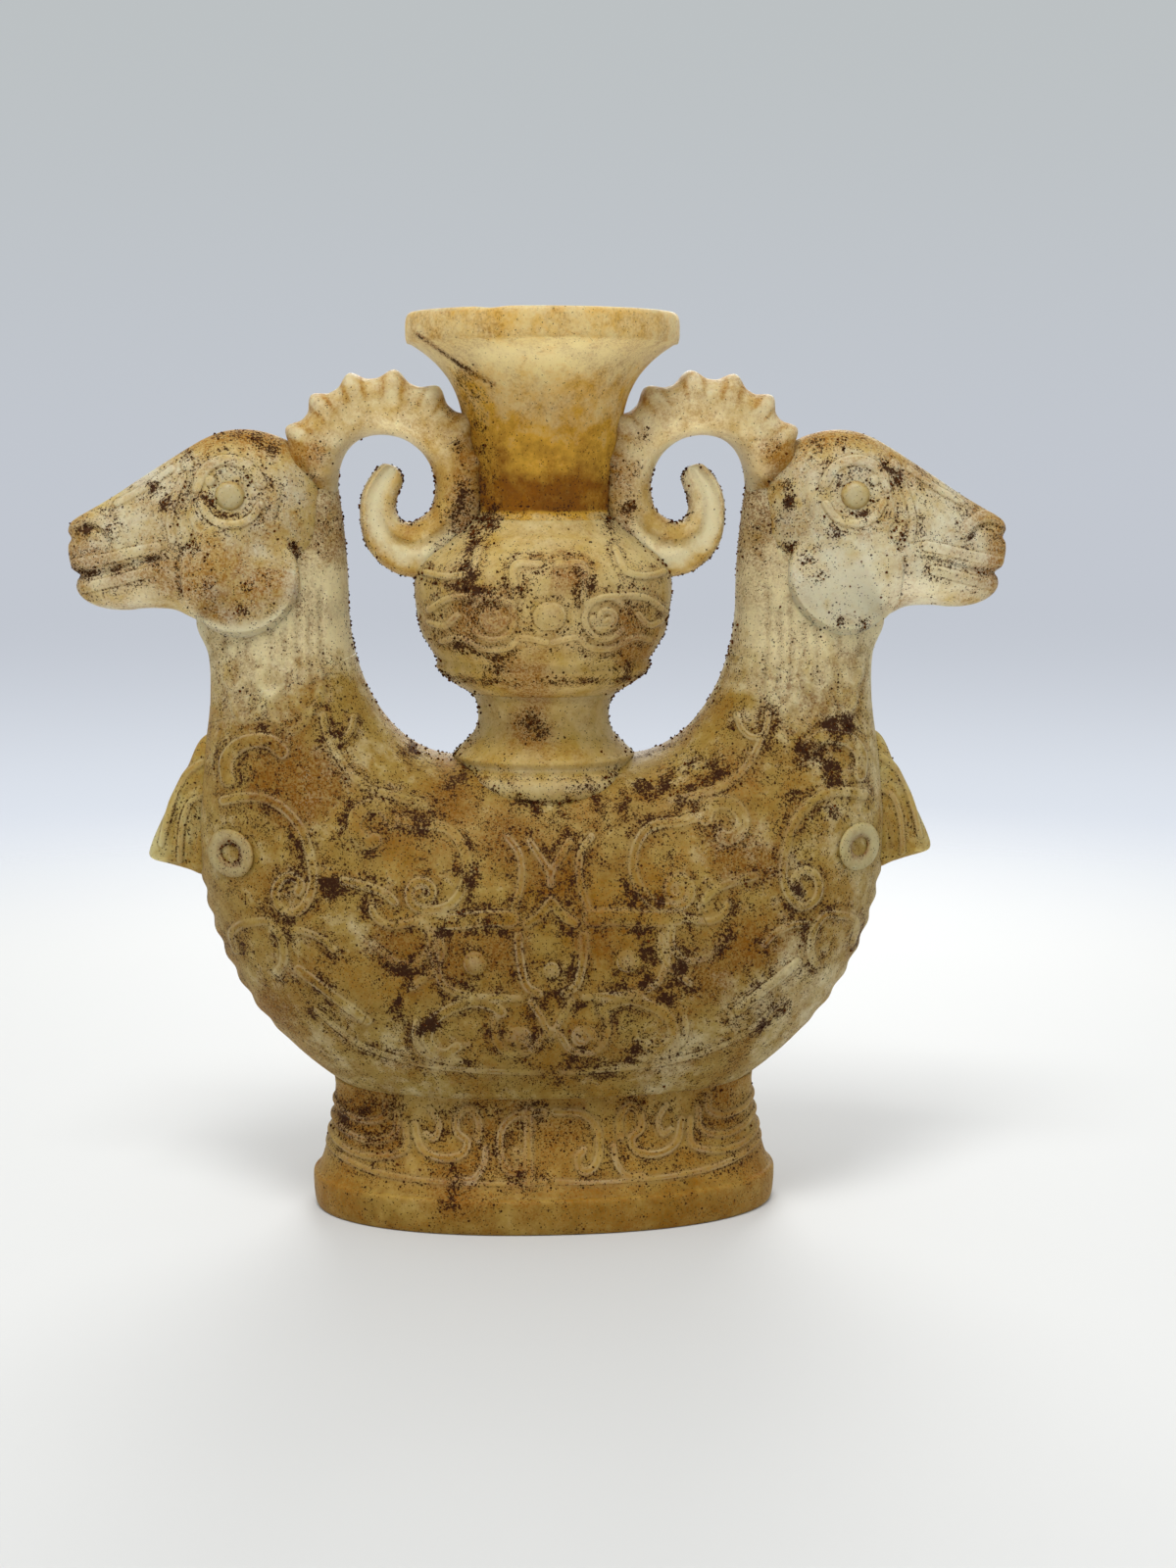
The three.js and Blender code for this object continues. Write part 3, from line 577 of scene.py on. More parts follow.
belly_scrolls = [
    (0.75, 0.5, [(24, 68.6), (21, 67.8), (18, 67.6), (15.6, 66.5), (14, 64.3), (13.3, 61.3), (14, 58.6),
                 (15.2, 56.6), (17.2, 55.1), (19.8, 54.8)]),
    (0.7, 0.5, spiral((20.5, 57.4), 2.6, 0.6, -0.25, 1.4)),
    (1.1, 0.5, [(25.4, 68.4), (26.1, 70), (28.2, 70.9), (30.5, 70.1), (31.5, 68.2), (30.9, 66.3),
                (29.4, 65.3), (28.1, 65.6)]),
    (1.3, 0.45, [(6.5, 53.3), (11, 53.4), (16, 53), (20.5, 53.2)]),
    (0.6, 0.5, [(20.5, 53.4), (22.2, 52.9), (24.3, 52.5), (26.2, 52.5), (28, 53.6), (28.7, 55)]),
    (0.7, 0.4, [(25, 56), (26.3, 57.3), (28.3, 58.1), (30.7, 58.8), (33.2, 59.3)]),
    (0.55, 0.45, [(17.8, 50.5), (17.6, 47.9), (18.6, 45.6), (20.6, 43.8), (22.4, 42.3)]),
    (0.55, 0.45, [(19.5, 51.5), (19.5, 48.8), (21.6, 46.2), (24.7, 46.4), (26.6, 47.8), (28.4, 49.3)]),
    (0.6, 0.5, [(19.3, 51.2), (19, 48.4), (18.3, 45.2), (17.2, 42.7), (14.1, 41.1), (9.9, 40.7),
                (5.3, 40.5)]),
    (0.9, 0.5, [(8.1, 38.2), (9.8, 39.4), (12.9, 39.9), (16.1, 38.8), (18.9, 36.8), (20, 33.8), (19, 31.7),
                (17.1, 30.9), (15.2, 32.2)]),
    (0.5, 0.4, [(21.7, 36.5), (22, 34), (21.2, 31.6), (18.7, 30), (14.6, 29.5)]),
    (0.55, 0.45, spiral((5, 33.6), 1.9, 0.4, 0.0, 1.2)),
    (0.55, 0.45, [(9, 37.4), (9.1, 34.2), (7.8, 31.6), (5.7, 30.7), (3, 31.6), (1.5, 34.1)]),
    (0.55, 0.5, [(3.2, 65.1), (0.3, 60.7), (0, 58.6)]),
    (0.55, 0.45, [(6.8, 65.8), (5.1, 63.6), (4.6, 60.8), (5, 57.8), (5.9, 55.1)]),
    (0.7, 0.5, [(0, 56.1), (1.8, 53.9), (3.9, 52.5)]),
    (0.7, 0.5, [(5.3, 50.5), (5.1, 47.2), (4.1, 42.7), (2, 41.2)]),
    (0.55, 0.45, [(3.3, 39.9), (1.6, 37), (0, 33.8)]),
    (0.75, 0.5, [(52.8, 71.1), (49.5, 72), (46.1, 72), (42.8, 70.5), (40, 67.4), (38.6, 63.4), (38, 59.5),
                 (39, 56), (41.2, 53.9), (43.6, 54.8), (44.2, 57.1), (43.1, 59.3), (41.3, 59.7), (40, 58.6),
                 (40.5, 57.3)]),
    (1.2, 0.8, [(52, 74.6), (52.2, 77.5), (50.3, 80), (47.8, 81), (45, 81), (43, 79.4)]),
    (0.5, 0.4, [(36.5, 85.1), (36.1, 83), (35.4, 81.4), (33.5, 81.1), (32.1, 82.4), (31.6, 84.4)]),
    (0.55, 0.45, [(35.4, 81.2), (34.1, 78.8), (32, 75.9), (29.1, 73.6), (26.4, 72.6), (23.2, 71.6),
                  (20, 71)]),
    (0.7, 0.5, [(51.4, 45.9), (51.9, 48.9), (50.2, 50.9), (47.3, 51.9), (45.5, 52.1), (44.2, 50.9),
                (43.2, 48.9), (43.1, 45.6), (44.3, 43.5)]),
    (0.6, 0.45, [(42.2, 50.9), (39.7, 51), (36.6, 49.8), (34.8, 48.2)]),
    (0.9, 0.5, [(40.6, 44.4), (36.8, 41.7), (33.4, 39.1), (29.7, 36.4)]),
    (0.5, 0.35, [(2, 27.4), (12, 27.8), (22, 29), (31, 32), (38, 37.5)]),
]
neck_feathers = [
    (0.5, -0.4, [(52.4, 97.5), (52.5, 94.5), (52.6, 92.5)]),
    (0.5, -0.45, [(48.2, 98), (48.8, 95.5), (49.4, 91.5)]),
    (0.5, -0.45, [(44.4, 101), (44.8, 95), (44.8, 90.5)]),
    (0.5, -0.45, [(40.2, 103.5), (40.4, 97), (40.2, 90.5)]),
    (0.5, -0.4, [(36.6, 105), (36.6, 97), (35.6, 88.5)]),
    (0.4, -0.3, [(42.4, 99), (42.7, 94.5), (42.4, 91)]),
    (0.4, -0.3, [(38.5, 101), (38.6, 95), (38, 90)]),
    (0.5, 0.45, [(52.6, 93.5), (52.4, 90.6), (50.9, 89.2), (49.4, 90.6), (49.2, 93.5)]),
    (0.5, 0.45, [(46.6, 92), (46.2, 89.4), (44.7, 88.3), (43.2, 89.4), (42.8, 92)]),
    (0.5, 0.45, [(41.2, 90), (40.7, 87), (39, 85.6), (37.3, 86.9), (36.9, 89.5)]),
    (0.45, 0.4, [(51.6, 88.4), (50.6, 85.4), (48.6, 84.4), (46.6, 85.6), (46, 87.8)]),
    (0.45, 0.4, [(45, 87.4), (44.2, 84.2), (42, 82.6), (39.8, 83.8), (39, 85.4)]),
]
belly_studs = [(12.3, 46.3, 1.9, 0.9), (0, 45, 1.4, 0.4)]
side_knob_step, side_knob_rise = 4.4, 0.5
right_black = [
    (49, 83), (42, 78), (47, 75), (40, 72), (16, 73), (8, 71), (21, 72), (24, 76), (28, 76), (11, 68),
    (13, 57), (15, 52), (15, 48), (28, 49), (11, 44), (15, 42), (19, 41), (21, 45), (31, 44), (45, 53),
    (42, 51), (35, 34), (38, 36), (13, 30), (18, 56), (47, 69), (40, 57), (32, 59),
]
left_black = [
    (-21, 67), (-33, 65), (-35, 58), (-41, 64), (-41, 60), (-43, 53), (-14, 59), (-15, 54), (-17, 52),
    (-10, 52), (-19, 48), (-23, 45), (-25, 40), (-25, 37), (-19, 37), (-20, 35), (-22, 71), (-16, 73),
    (-13, 76), (-22, 79), (-5, 72), (-51, 65), (-14, 43),
]
rust_places = [
    (29, 63), (35, 61), (1, 60), (7, 50), (26, 43), (32, 48), (35, 48), (-43, 78), (-39, 77), (-45, 73),
    (-40, 71), (-37, 73), (-16, 72), (-7, 66), (-8, 48), (-16, 46), (-26, 49), (-45, 37),
]
pale_places = [
    (22, 63), (26, 38), (30, 40), (29, 33), (39, 41), (50, 57), (18, 27), (-27, 60), (-35, 41), (-32, 39),
    (-25, 30), (-47, 44), (-31, 78), (36, 52), (45, 62), (40, 46), (-30, 52), (33, 66), (22, 33), (-12, 30),
]
belly_soil = [(x, z, 1.7, 0.9) for x, z in right_black + left_black]
belly_soil += [
    (48, 82.5, 2.6, 1), (43, 78.5, 2, 1), (46.5, 75.5, 1.8, 1), (12, 71.2, 1.3, 1), (16, 72.6, 1.4, 1),
    (20, 74, 1.5, 1), (24, 76, 1.5, 1), (-2, 69.8, 1, 1), (2, 69.6, 0.9, 1),
]
belly_rust = [(x, z, 3.6, 0.9) for x, z in rust_places]
belly_pale = [(x, z, 3.6, 0.2) for x, z in pale_places]


def crescent_relief(points):
    """Height and marks of the crescent's relief: the same on front and back, mirrored from left to right.

    Worn knobs, a cosine in height, stand along the outlines at the sides. Slow waves in both directions wear
    the relief down, and it fades out round the underside. The marks of soil turn with the back, so that it
    isn't the front seen again.
    """
    x, y, z = points.T
    across = np.abs(x)
    height, relief = cast_relief(across, z, belly_scrolls, belly_studs)
    feather_height, feathers = cast_relief(across, z, neck_feathers)
    height = height + feather_height
    shown = smooth((z - 23.2) / 2.5) * smooth((np.abs(y) - 0.5) / 2.5)
    knobs = (0.5 + 0.5 * np.cos(2 * np.pi * z / side_knob_step)) * smooth((8 - np.abs(y)) / 5)
    knobs *= smooth((z - 29) / 4) * smooth((62 - z) / 4) * smooth((across - 34) / 4)
    front = np.where(y < 0, x, -0.93 * x)
    level = np.where(y < 0, z, z + 1.7)
    dirt = patches(front, level, belly_soil)
    rust = patches(front, level, belly_rust)
    pale = patches(front, level, belly_pale)
    aged = smooth((z - 105) / 10)
    under_vase = smooth((22 - across) / 14) * smooth((72 - z) / 10)
    tone = 0.62 - 0.72 * smooth((z - 78) / 28) - 0.12 * smooth((42 - z) / 14)
    tone = tone - 0.12 * smooth((front - 28) / 12)
    caught = (0.4 * relief["soil"] + 0.12 * feathers["soil"]) * shown
    reddened = (0.2 * relief["soil"] + 0.3 * feathers["soil"]) * shown
    marks = {
        "tone": tone - 0.7 * pale + 0.22 * aged + 0.12 * under_vase,
        "wear_and_highlight": np.maximum(relief["wear_and_highlight"], feathers["wear_and_highlight"]) * shown,
        "soil": np.clip(caught + 0.8 * dirt + 0.14 * aged, 0, 1),
        "rust": rust + reddened + 0.25 + 0.5 * aged,
        "edge": mix(edge_reach, relief["edge"], shown),
    }
    wear = 0.75 + 0.25 * np.sin(0.37 * front + 0.8) * np.sin(0.31 * z)
    return height * shown * wear + side_knob_rise * knobs, marks


belly_glass = frosted_glass(
    "belly_glass",
    thin=paint(232, 218, 170),
    middle=paint(172, 144, 70),
    thick=paint(130, 96, 14),
    rust=paint(120, 70, 0),
    rusting=0.8,
    speckling=0.4,
    clearness=0.38,
)


def belly_shell():
    """The belly's whole skin: the outside, the hollow's wall inside it, the flat edge below, and end caps.

    Gives the points, the faces and how many of the points belong to the outside, which come first.
    """
    line = np.linspace(0, belly_end, 4001)
    inner_z, outer_z = inner_outline(line)[1], outer_outline(line)[1]
    half = np.hypot(*(np.array(inner_outline(line)) - np.array(outer_outline(line)))) / 2
    hollow_z = (inner_z + outer_z) / 2 - (inner_z - outer_z) / 2 * (half - belly_wall) / half
    outside_closes = np.interp(foot_height, outer_z, line)
    hollow_closes = np.interp(foot_height, hollow_z, line)
    hollow_end = belly_end - belly_wall / 8
    breaks = [outside_closes, hollow_closes, hollow_end]
    stations = stations_through(-belly_end, belly_end, belly_stations, breaks)
    columns = np.concatenate([np.linspace(1, 0, front_columns), np.linspace(0, -1, back_columns)[1:]])
    outside = crescent_rings(stations, cut_angles(stations, columns, foot_height))
    within = stations[np.abs(stations) < hollow_end + 1e-6]
    across = np.linspace(1, -1, hollow_columns)
    hollow = crescent_rings(within, cut_angles(within, across, foot_height, -belly_wall), -belly_wall)
    low = np.abs(stations) < outside_closes + 1e-6
    bottom = np.zeros((low.sum(), 4, 3))
    bottom[:, 0], bottom[:, 3] = outside[low, 0], outside[low, -1]
    bottom[:, 1], bottom[:, 2] = outside[low, 0], outside[low, 0]
    bottom[:, 1:3, 1] = 0
    open_below = np.abs(stations[low]) < hollow_closes + 1e-6
    over_hollow = np.abs(within) < hollow_closes + 1e-6
    bottom[open_below, 1], bottom[open_below, 2] = hollow[over_hollow, 0], hollow[over_hollow, -1]
    faces = []
    points = []
    count = 0
    for grid, flipped in ((outside, False), (hollow, True), (bottom, False)):
        rows, across_count = grid.shape[:2]
        sheet = grid_faces(rows, across_count, round_columns=False)
        if grid is bottom:
            sheet = sheet[np.arange(len(sheet)) % 3 != 1][:, ::-1]
        faces.append((sheet[:, ::-1] if flipped else sheet) + count)
        points.append(grid.reshape(-1, 3))
        first = count
        count += rows * across_count
        if grid is not bottom:
            for row, turned in ((0, flipped), (rows - 1, not flipped)):
                points.append(grid[row].mean(0)[None])
                side = first + row * across_count + np.arange(across_count - 1)
                fan = np.stack([np.full(len(side), count), side + 1, side], -1)
                faces.append(fan[:, ::-1] if turned else fan)
                count += 1
    return np.vstack(points), faces, outside.shape[0] * outside.shape[1]


points, faces, outside_count = belly_shell()
faces = turned_outward(points, faces)
outside = points[:outside_count]
height, marks = crescent_relief(outside)
outside_normals = normals_of(outside, faces[:1])
points[:outside_count] = outside + outside_normals * (height - 0.1 * smooth(height))[:, None]
hidden_count = len(points) - outside_count
plain = {"tone": 0.6, "wear_and_highlight": 0.0, "soil": 0.0, "rust": 0.3, "edge": edge_reach}
marks = {key: np.concatenate([marks[key], np.full(hidden_count, plain[key])]) for key in marks}
cast("crescent_belly", belly_glass, ["belly"], points, faces, marks, merge=True)

# The necks: the crescent's two ends, solid glass, cast on with the belly. Each stands a hair inside the
# belly's skin at the joint and comes out flush with it, and its rounded end is hidden in the head.
neck_start = 9.7
neck_inset = 0.04
neck_rows, neck_turns = 170, 170


def skinned(rings):
    """A closed skin over rings of points: quads between rings, and a fan from the middle of each end ring."""
    rows, columns = rings.shape[:2]
    points = np.vstack([rings.reshape(-1, 3), rings[0].mean(0), rings[-1].mean(0)])
    side = np.arange(columns)
    beside = (side + 1) % columns
    last = (rows - 1) * columns
    first_fan = np.stack([np.full(columns, rows * columns), beside, side], -1)
    last_fan = np.stack([np.full(columns, rows * columns + 1), last + side, last + beside], -1)
    return points, turned_outward(points, [grid_faces(rows, columns), np.vstack([first_fan, last_fan])])


for side, sign in (("left", -1), ("right", 1)):
    stations = np.linspace(neck_start, neck_end + 1.2, neck_rows)
    angles = np.broadcast_to(np.linspace(np.pi, -np.pi, neck_turns + 1)[:-1], (neck_rows, neck_turns))
    rings = crescent_rings(stations, angles)
    rings[..., 0] *= sign
    slimmer = 1 - 0.35 * smooth((stations - slim_at) / 2.3)
    rounded_end = np.sqrt(1 - np.clip((stations - 14.4) / 1.85, 0, 1) ** 2)
    rings[..., 1] *= (slimmer * rounded_end)[:, None]
    inset = neck_inset * (1 - smooth((stations - belly_end) / 0.4)) + 0.6 * smooth((stations - 15.6) / 0.6)
    points, faces = skinned(rings)
    normals = normals_of(points, faces)
    height, marks = crescent_relief(points)
    sunk = np.concatenate([np.repeat(inset, neck_turns), [0, 0]])
    points = points + normals * (height - sunk)[:, None]
    cast(f"{side}_ram_neck", belly_glass, [f"{side}_neck"], points, faces, marks)

# The vase between the rams starts with its stem: a collar that sits down over the belly's saddle, and a
# waist with a ring where the collar ends. Highlights are painted pale on the ring and at the tops of the
# collar and the stem. The glass is cast from a turned pattern, so it is round.
collar_radius = 15.4
collar_top = 76.2
moulding_middle, moulding_half_height, moulding_rise = 72.7, 1.6, 0.6
collar_rows = 28
stem_turns = 360
stem_profile = [
    (15.1, 76.5), (15.2, 77.2), (14.6, 77.9), (13.2, 79.3), (11.8, 80.8), (11.15, 82.4), (11, 83.6),
    (11.1, 85.3), (11.6, 86.7), (12.4, 87.9), (11.6, 88.3),
]
vase_black = [
    (-13, 106), (-9, 104), (-12, 113), (-11, 115), (-9, 116), (-14, 96), (-7, 105), (11, 116),
    (6, 107), (-4, 106), (-8, 93), (13, 93), (-1, 82), (-3, 84), (11, 75), (-5, 72), (8, 73),
    (-13, 109), (-10, 118), (-11, 121), (-10, 124), (12, 119), (-12, 74), (-9, 72), (4, 72),
    (-10, 128), (-11, 132), (-12, 136), (11, 123), (-13, 139),
]
vase_orange = [(-13, 99), (-2, 89), (-3, 83), (13, 100), (14, 95), (-5, 93), (-8, 101), (3, 108), (-12, 103)]


def turned(profile, turns):
    """Rings of a turned shape: x = r cos a and y = r sin a at each of the profile's radii and heights."""
    angle = np.arange(turns) / turns * 2 * np.pi
    radius, height = np.asarray(profile).T
    x, y = np.outer(radius, np.cos(angle)), np.outer(radius, np.sin(angle))
    return np.stack([x, y, np.broadcast_to(height[:, None], x.shape)], -1)


def vase_dirt(points):
    """Marks of soil and rust on the vase. Its back has the front's turned a little and thinned."""
    x, y, z = points.T
    front = np.where(y < 0, x, 2 - 0.9 * x)
    black = patches(front, z, [(a, b, 1.8, 0.7) for a, b in vase_black])
    orange = patches(front, z, [(a, b, 3.2, 0.8) for a, b in vase_orange])
    return np.clip(black, 0, 1), orange + 0.2


def saddle_height(y):
    """Height of the belly's upper surface over the saddle, at a place y to the front of its middle."""
    middle = (deck_height + oval_foot_height) / 2
    share = (1 - np.abs(y / belly_half_depth) ** crescent_power) ** (1 / crescent_power)
    return middle + (deck_height - middle) * share


vase_glass = frosted_glass(
    "vase_glass",
    thin=paint(218, 196, 134),
    middle=paint(190, 158, 74),
    thick=paint(144, 104, 16),
    rust=paint(142, 82, 0),
    rusting=0.85,
    speckling=0.18,
    clearness=0.4,
)
wall = turned([(collar_radius, 0)] * collar_rows, stem_turns)
seat = saddle_height(wall[0, :, 1]) - 1
share = np.linspace(0, 1, collar_rows)[:, None]
wall[..., 2] = mix(seat[None, :], np.maximum(collar_top, seat + 0.4)[None, :], share)
swelling = 1 - np.clip((wall[..., 2] - moulding_middle) / moulding_half_height, -1, 1) ** 2
set_back = 0.5 * smooth((wall[..., 2] - 74.6) / 0.6)
bead = collar_radius + moulding_rise * np.sqrt(swelling) - set_back
wall[..., :2] *= (bead / collar_radius)[..., None]
rings = np.concatenate([wall, turned(drawn(stem_profile, 6), stem_turns)])
points, faces = skinned(rings)
soil, rust = vase_dirt(points)
x, y, z = points.T
marks = {
    # Painted highlights: the bead is paler, and pale bands lie on its top, at the collar's top and at the
    # stem's top.
    "tone": 0.3 - 0.2 * smooth((z - 79) / 3) - 0.1 * np.exp(-(((z - moulding_middle) / 1.4) ** 2)),
    "wear_and_highlight": 0.5 * np.exp(-(((z - 73.4) / 0.8) ** 2)) + 0.35 * np.exp(-(((z - 76) / 0.4) ** 2))
    + 0.25 * np.exp(-(((z - 88) / 0.8) ** 2)),
    "soil": np.clip(soil + 0.9 * smooth((71.6 - z) / 0.7) + 0.35 * np.exp(-(((z - 74.7) / 0.3) ** 2)), 0, 1),
    "rust": rust,
}
cast("vase_stem_and_collar", vase_glass, ["vase_stem"], points, faces, marks)

# The globe of the vase: round shoulders over two fine rings, with rosettes and a framed oval in low relief.
# It is solid glass, cast in a mould of two halves, and its narrow lower end is luted on the stem.
globe_base = 87.7
globe_height = 28.8
globe_foot_radius = 12.4
globe_step_radius = 17.9
globe_radius = 21.5
globe_neck_radius = 12.2
globe_turns = 420
globe_profile = [
    (globe_foot_radius, 0),
    (mix(globe_foot_radius, globe_step_radius, 0.5), 0.055),
    (0.97 * globe_step_radius, 0.12),
    (globe_step_radius, 0.185),
    (mix(globe_step_radius, globe_radius, 0.3), 0.26),
    (mix(globe_step_radius, globe_radius, 0.7), 0.35),
    (mix(globe_step_radius, globe_radius, 0.9), 0.47),
    (globe_radius, 0.62),
    (mix(globe_step_radius, globe_radius, 0.83), 0.72),
    (mix(globe_radius, globe_neck_radius, 0.27), 0.8),
    (mix(globe_radius, globe_neck_radius, 0.52), 0.86),
    (mix(globe_radius, globe_neck_radius, 0.8), 0.94),
    (12.57, 1.0),
]
globe_scrolls = [
    (0.5, 0.45, spiral((9, 101.2), 2.1, 0.5, 0.5, 1.4)),
    (0.45, 0.4, spiral((9, 101.2), 3.4, 3.4, 0.1, 0.8)),
    (0.5, 0.4, [(1.5, 109.8), (5.6, 109.4), (5.5, 104), (9.3, 104.6), (15.3, 104.3), (19, 102)]),
    (0.5, 0.4, [(11, 112), (12.5, 108.5), (16, 107.6), (19.5, 108)]),
    (0.45, 0.4, [(0.5, 97.5), (4.5, 98.2), (6.5, 96.5), (10, 96.2), (14, 97.8), (17, 97)]),
    (0.5, 0.4, [(14.5, 101.5), (16.5, 99.6), (19, 100)]),
]
globe_rings = [(92.1, 0.25), (93.4, -0.2), (113.4, 0.2)]
profile = drawn([(r, globe_base + share * globe_height) for r, share in globe_profile], 12)
points, faces = skinned(turned(profile, globe_turns))
x, y, z = points.T
normals = normals_of(points, faces)
height, relief = cast_relief(np.abs(x), z, globe_scrolls, [(0.4, 101.6, 2.2, 0.6)])
for level, rise in globe_rings:
    height = height + rise * np.exp(-(((z - level) / 0.45) ** 2))
black, rust = vase_dirt(points)
marks = {
    "tone": 0.22 + 0.05 * smooth((98 - z) / 8) - 0.1 * smooth((z - 106) / 6),
    "wear_and_highlight": relief["wear_and_highlight"],
    "soil": np.clip(0.5 * relief["soil"] + black + 0.6 * np.exp(-(((z - 90.6) / 0.8) ** 2)), 0, 1),
    "rust": rust + 0.15 * relief["soil"],
    "edge": relief["edge"],
}
shown = smooth(z - globe_base - 0.5) * smooth(globe_base + globe_height - 1 - z)
points = points + normals * (height * shown)[:, None]
cast("vase_globe_body", vase_glass, ["vase_globe"], points, faces, marks)

# The trumpet mouth: thin at its neck and bright at its rim, with a blind cup inside, and luted on the globe.
# Its glass grows deep amber towards the bottom, where the light has the longest way through it.
trumpet_turns = 360
throat_radius, mouth_radius, cup_radius, cup_mouth_radius = 11.59, 21.7, 7.7, 20.8
mouth_shares = [0, 0.2, 0.36, 0.5, 0.62, 0.72, 0.81, 0.89, 0.95, 1]
cup_shares = np.linspace(1, 0, 9)
wall_profile = [(12.3, 116.3), (12.57, 116.5)]
for share in mouth_shares:
    flare = 0.09 * np.sin(share * np.pi) ** 2 + share**4.4
    wall_profile.append((mix(throat_radius, mouth_radius, flare), mix(117.7, 145, share)))
rim_profile = [(22.37, 145.2), (22.6, 146.2), (22.6, 148.4), (22.37, 149.5), (21.9, 150), (21.3, 150)]
cup_profile = []
for share in cup_shares:
    flare = 0.18 * share + 0.82 * share**3
    cup_profile.append((mix(cup_radius, cup_mouth_radius, flare), mix(121.66, 149.6, share)))
cup_profile += [(6.55, 120.5), (3, 120.2)]
wall, rim, cup = drawn(wall_profile, 8), drawn(rim_profile, 4), drawn(cup_profile, 8)
points, faces = skinned(turned(np.vstack([wall, rim, cup]), trumpet_turns))
x, y, z = points.T
inside = np.arange(len(points)) // trumpet_turns >= len(wall) + len(rim)
black, rust = vase_dirt(points)
crack_line = drawn([(-21, 146.4), (-15.5, 142.6), (-11.5, 139.8), (-8.4, 138.2)])
crack = 0.9 * np.exp(-((distance_to(crack_line, x, z) / 0.28) ** 2)) * (y < 0) * (1 - inside)
nick = 0.25 * np.exp(-((x + 9) ** 2 + (z - 150) ** 2) / 3) * (y < 0)
points[:, 2] -= nick
# Painted light: a bright line on the rim's top is a painted highlight, and a pale band below the rim band is
# a painted glow.
rim_highlight = 0.6 * np.exp(-(((z - 149.9) / 0.35) ** 2))
glow_under_rim = 0.35 * np.exp(-(((z - 143) / 1.3) ** 2)) * (1 - inside)
amber_glass = frosted_glass(
    "amber_glass",
    thin=paint(240, 224, 166),
    middle=paint(224, 176, 56),
    thick=paint(122, 74, 0),
    rust=paint(142, 82, 0),
    rusting=0.8,
    staining=0.75,
    speckling=0.09,
    clearness=0.44,
)
marks = {
    "tone": 0.2 * smooth((z - 144.6) / 0.8) + 0.35 * smooth((142.5 - z) / 5) + 0.4 * smooth((137 - z) / 12)
    + 0.35 * smooth((125.5 - z) / 4) - 0.75 * smooth(118.4 - z) - 0.02,
    "wear_and_highlight": rim_highlight + glow_under_rim,
    "soil": np.clip(black + crack + 0.25 * smooth((121 - z) / 3), 0, 1) * (1 - inside),
    "rust": rust + 0.3 * smooth((128 - z) / 10) + crack + 0.15 * smooth((np.abs(x) - 8) / 4),
}
cast("vase_trumpet_mouth", amber_glass, ["vase_trumpet"], points, faces, marks)

# The rams' heads: solid glass, pale and clear at the cheeks, cast on the necks' ends. Each is flat at the
# sides, with a round cheek disc, a socket and a brow round the eye, a nostril and a cut mouth.
head_middle_x = 55.0
head_middle_z = 111.0
skull_half_depth = 9.2
muzzle_half_depth = 6.3
head_power = 2.3
head_rows, head_turns = 190, 420
head_outline = [
    (78.3, 111.2), (78.2, 112.4), (77.7, 113.4), (78.2, 114.6), (77.8, 115.9), (76.6, 116.9), (75, 117.8),
    (72.9, 119), (70.2, 120.6), (67.3, 122.5), (64.2, 124.5), (61.2, 126.4), (58.3, 128.2), (55.4, 129.8),
    (52.3, 130.9), (49, 131.2), (45.6, 130.7), (42.2, 129.4), (39.4, 127.2), (37.2, 123.6), (36, 119),
    (36, 113.5), (36.8, 109), (38.6, 105.4), (41, 102.2), (44.3, 99.6), (48, 98.1), (52, 98),
    (55.6, 99), (58.6, 100.5), (61.4, 101.7), (65.6, 101.9), (68.8, 101.6), (72, 101.8), (74.6, 102.6),
    (76.4, 103.9), (77.1, 105.3), (76.9, 106.6), (76.4, 107.4), (77.7, 108.4), (78.1, 109.8), (78.3, 111.2),
]
cheek_x, cheek_z, cheek_radius, cheek_rise = 49.8, 107.4, 9.5, 1.6
eye_x, eye_z = 51.1, 120.4
socket_radius, socket_depth = 3.9, 0.5
neck_middle_x, neck_half_width = 45.0, 12.6
head_strokes = [
    (0.8, 0.5, [(56.4, 121.8), (55.2, 124.4), (52.8, 126), (50, 126), (47.6, 124.8), (46, 122.4)]),
    (0.6, 0.4, [(55.6, 119.2), (54.4, 117.2), (52.4, 116), (49.8, 115.9), (47.6, 117), (46.2, 119)]),
    (0.6, -0.45, [(57.2, 122.6), (58, 119.6), (58.2, 116.6), (57, 113.6), (58.8, 111.6)]),
    (0.55, 0.4, [(58.6, 123.4), (60, 120), (60.8, 116.4), (60.4, 113.4)]),
    (0.45, -0.75, [(79, 107.3), (76.2, 107.5), (73.2, 108.1), (70, 108.8), (66.6, 109.7), (62.6, 110.4)]),
    (0.8, 0.4, [(77, 109.3), (73.6, 109.9), (70, 110.6), (66.4, 111.5), (63, 112.1)]),
    (0.8, 0.35, [(75.6, 105.4), (72, 106.2), (68.2, 107.2), (64.6, 108.1)]),
    (0.45, -0.6, [(75.4, 115.4), (73.8, 115.3), (72.2, 114.4), (71.2, 113.2)]),
    (0.9, 0.45, [(77, 116), (74.6, 116.9), (72, 116.2), (70.2, 114.6)]),
    (0.5, 0.35, [(69.8, 119.2), (65, 121.8), (60.6, 124.8)]),
    (0.45, -0.35, [(44.6, 127.6), (43, 124.2), (42.6, 120.4), (43.6, 116.8)]),
]
head_studs = [(54.2, 122.9, 0.8, 0.45), (58, 125.4, 1.0, 0.4)]
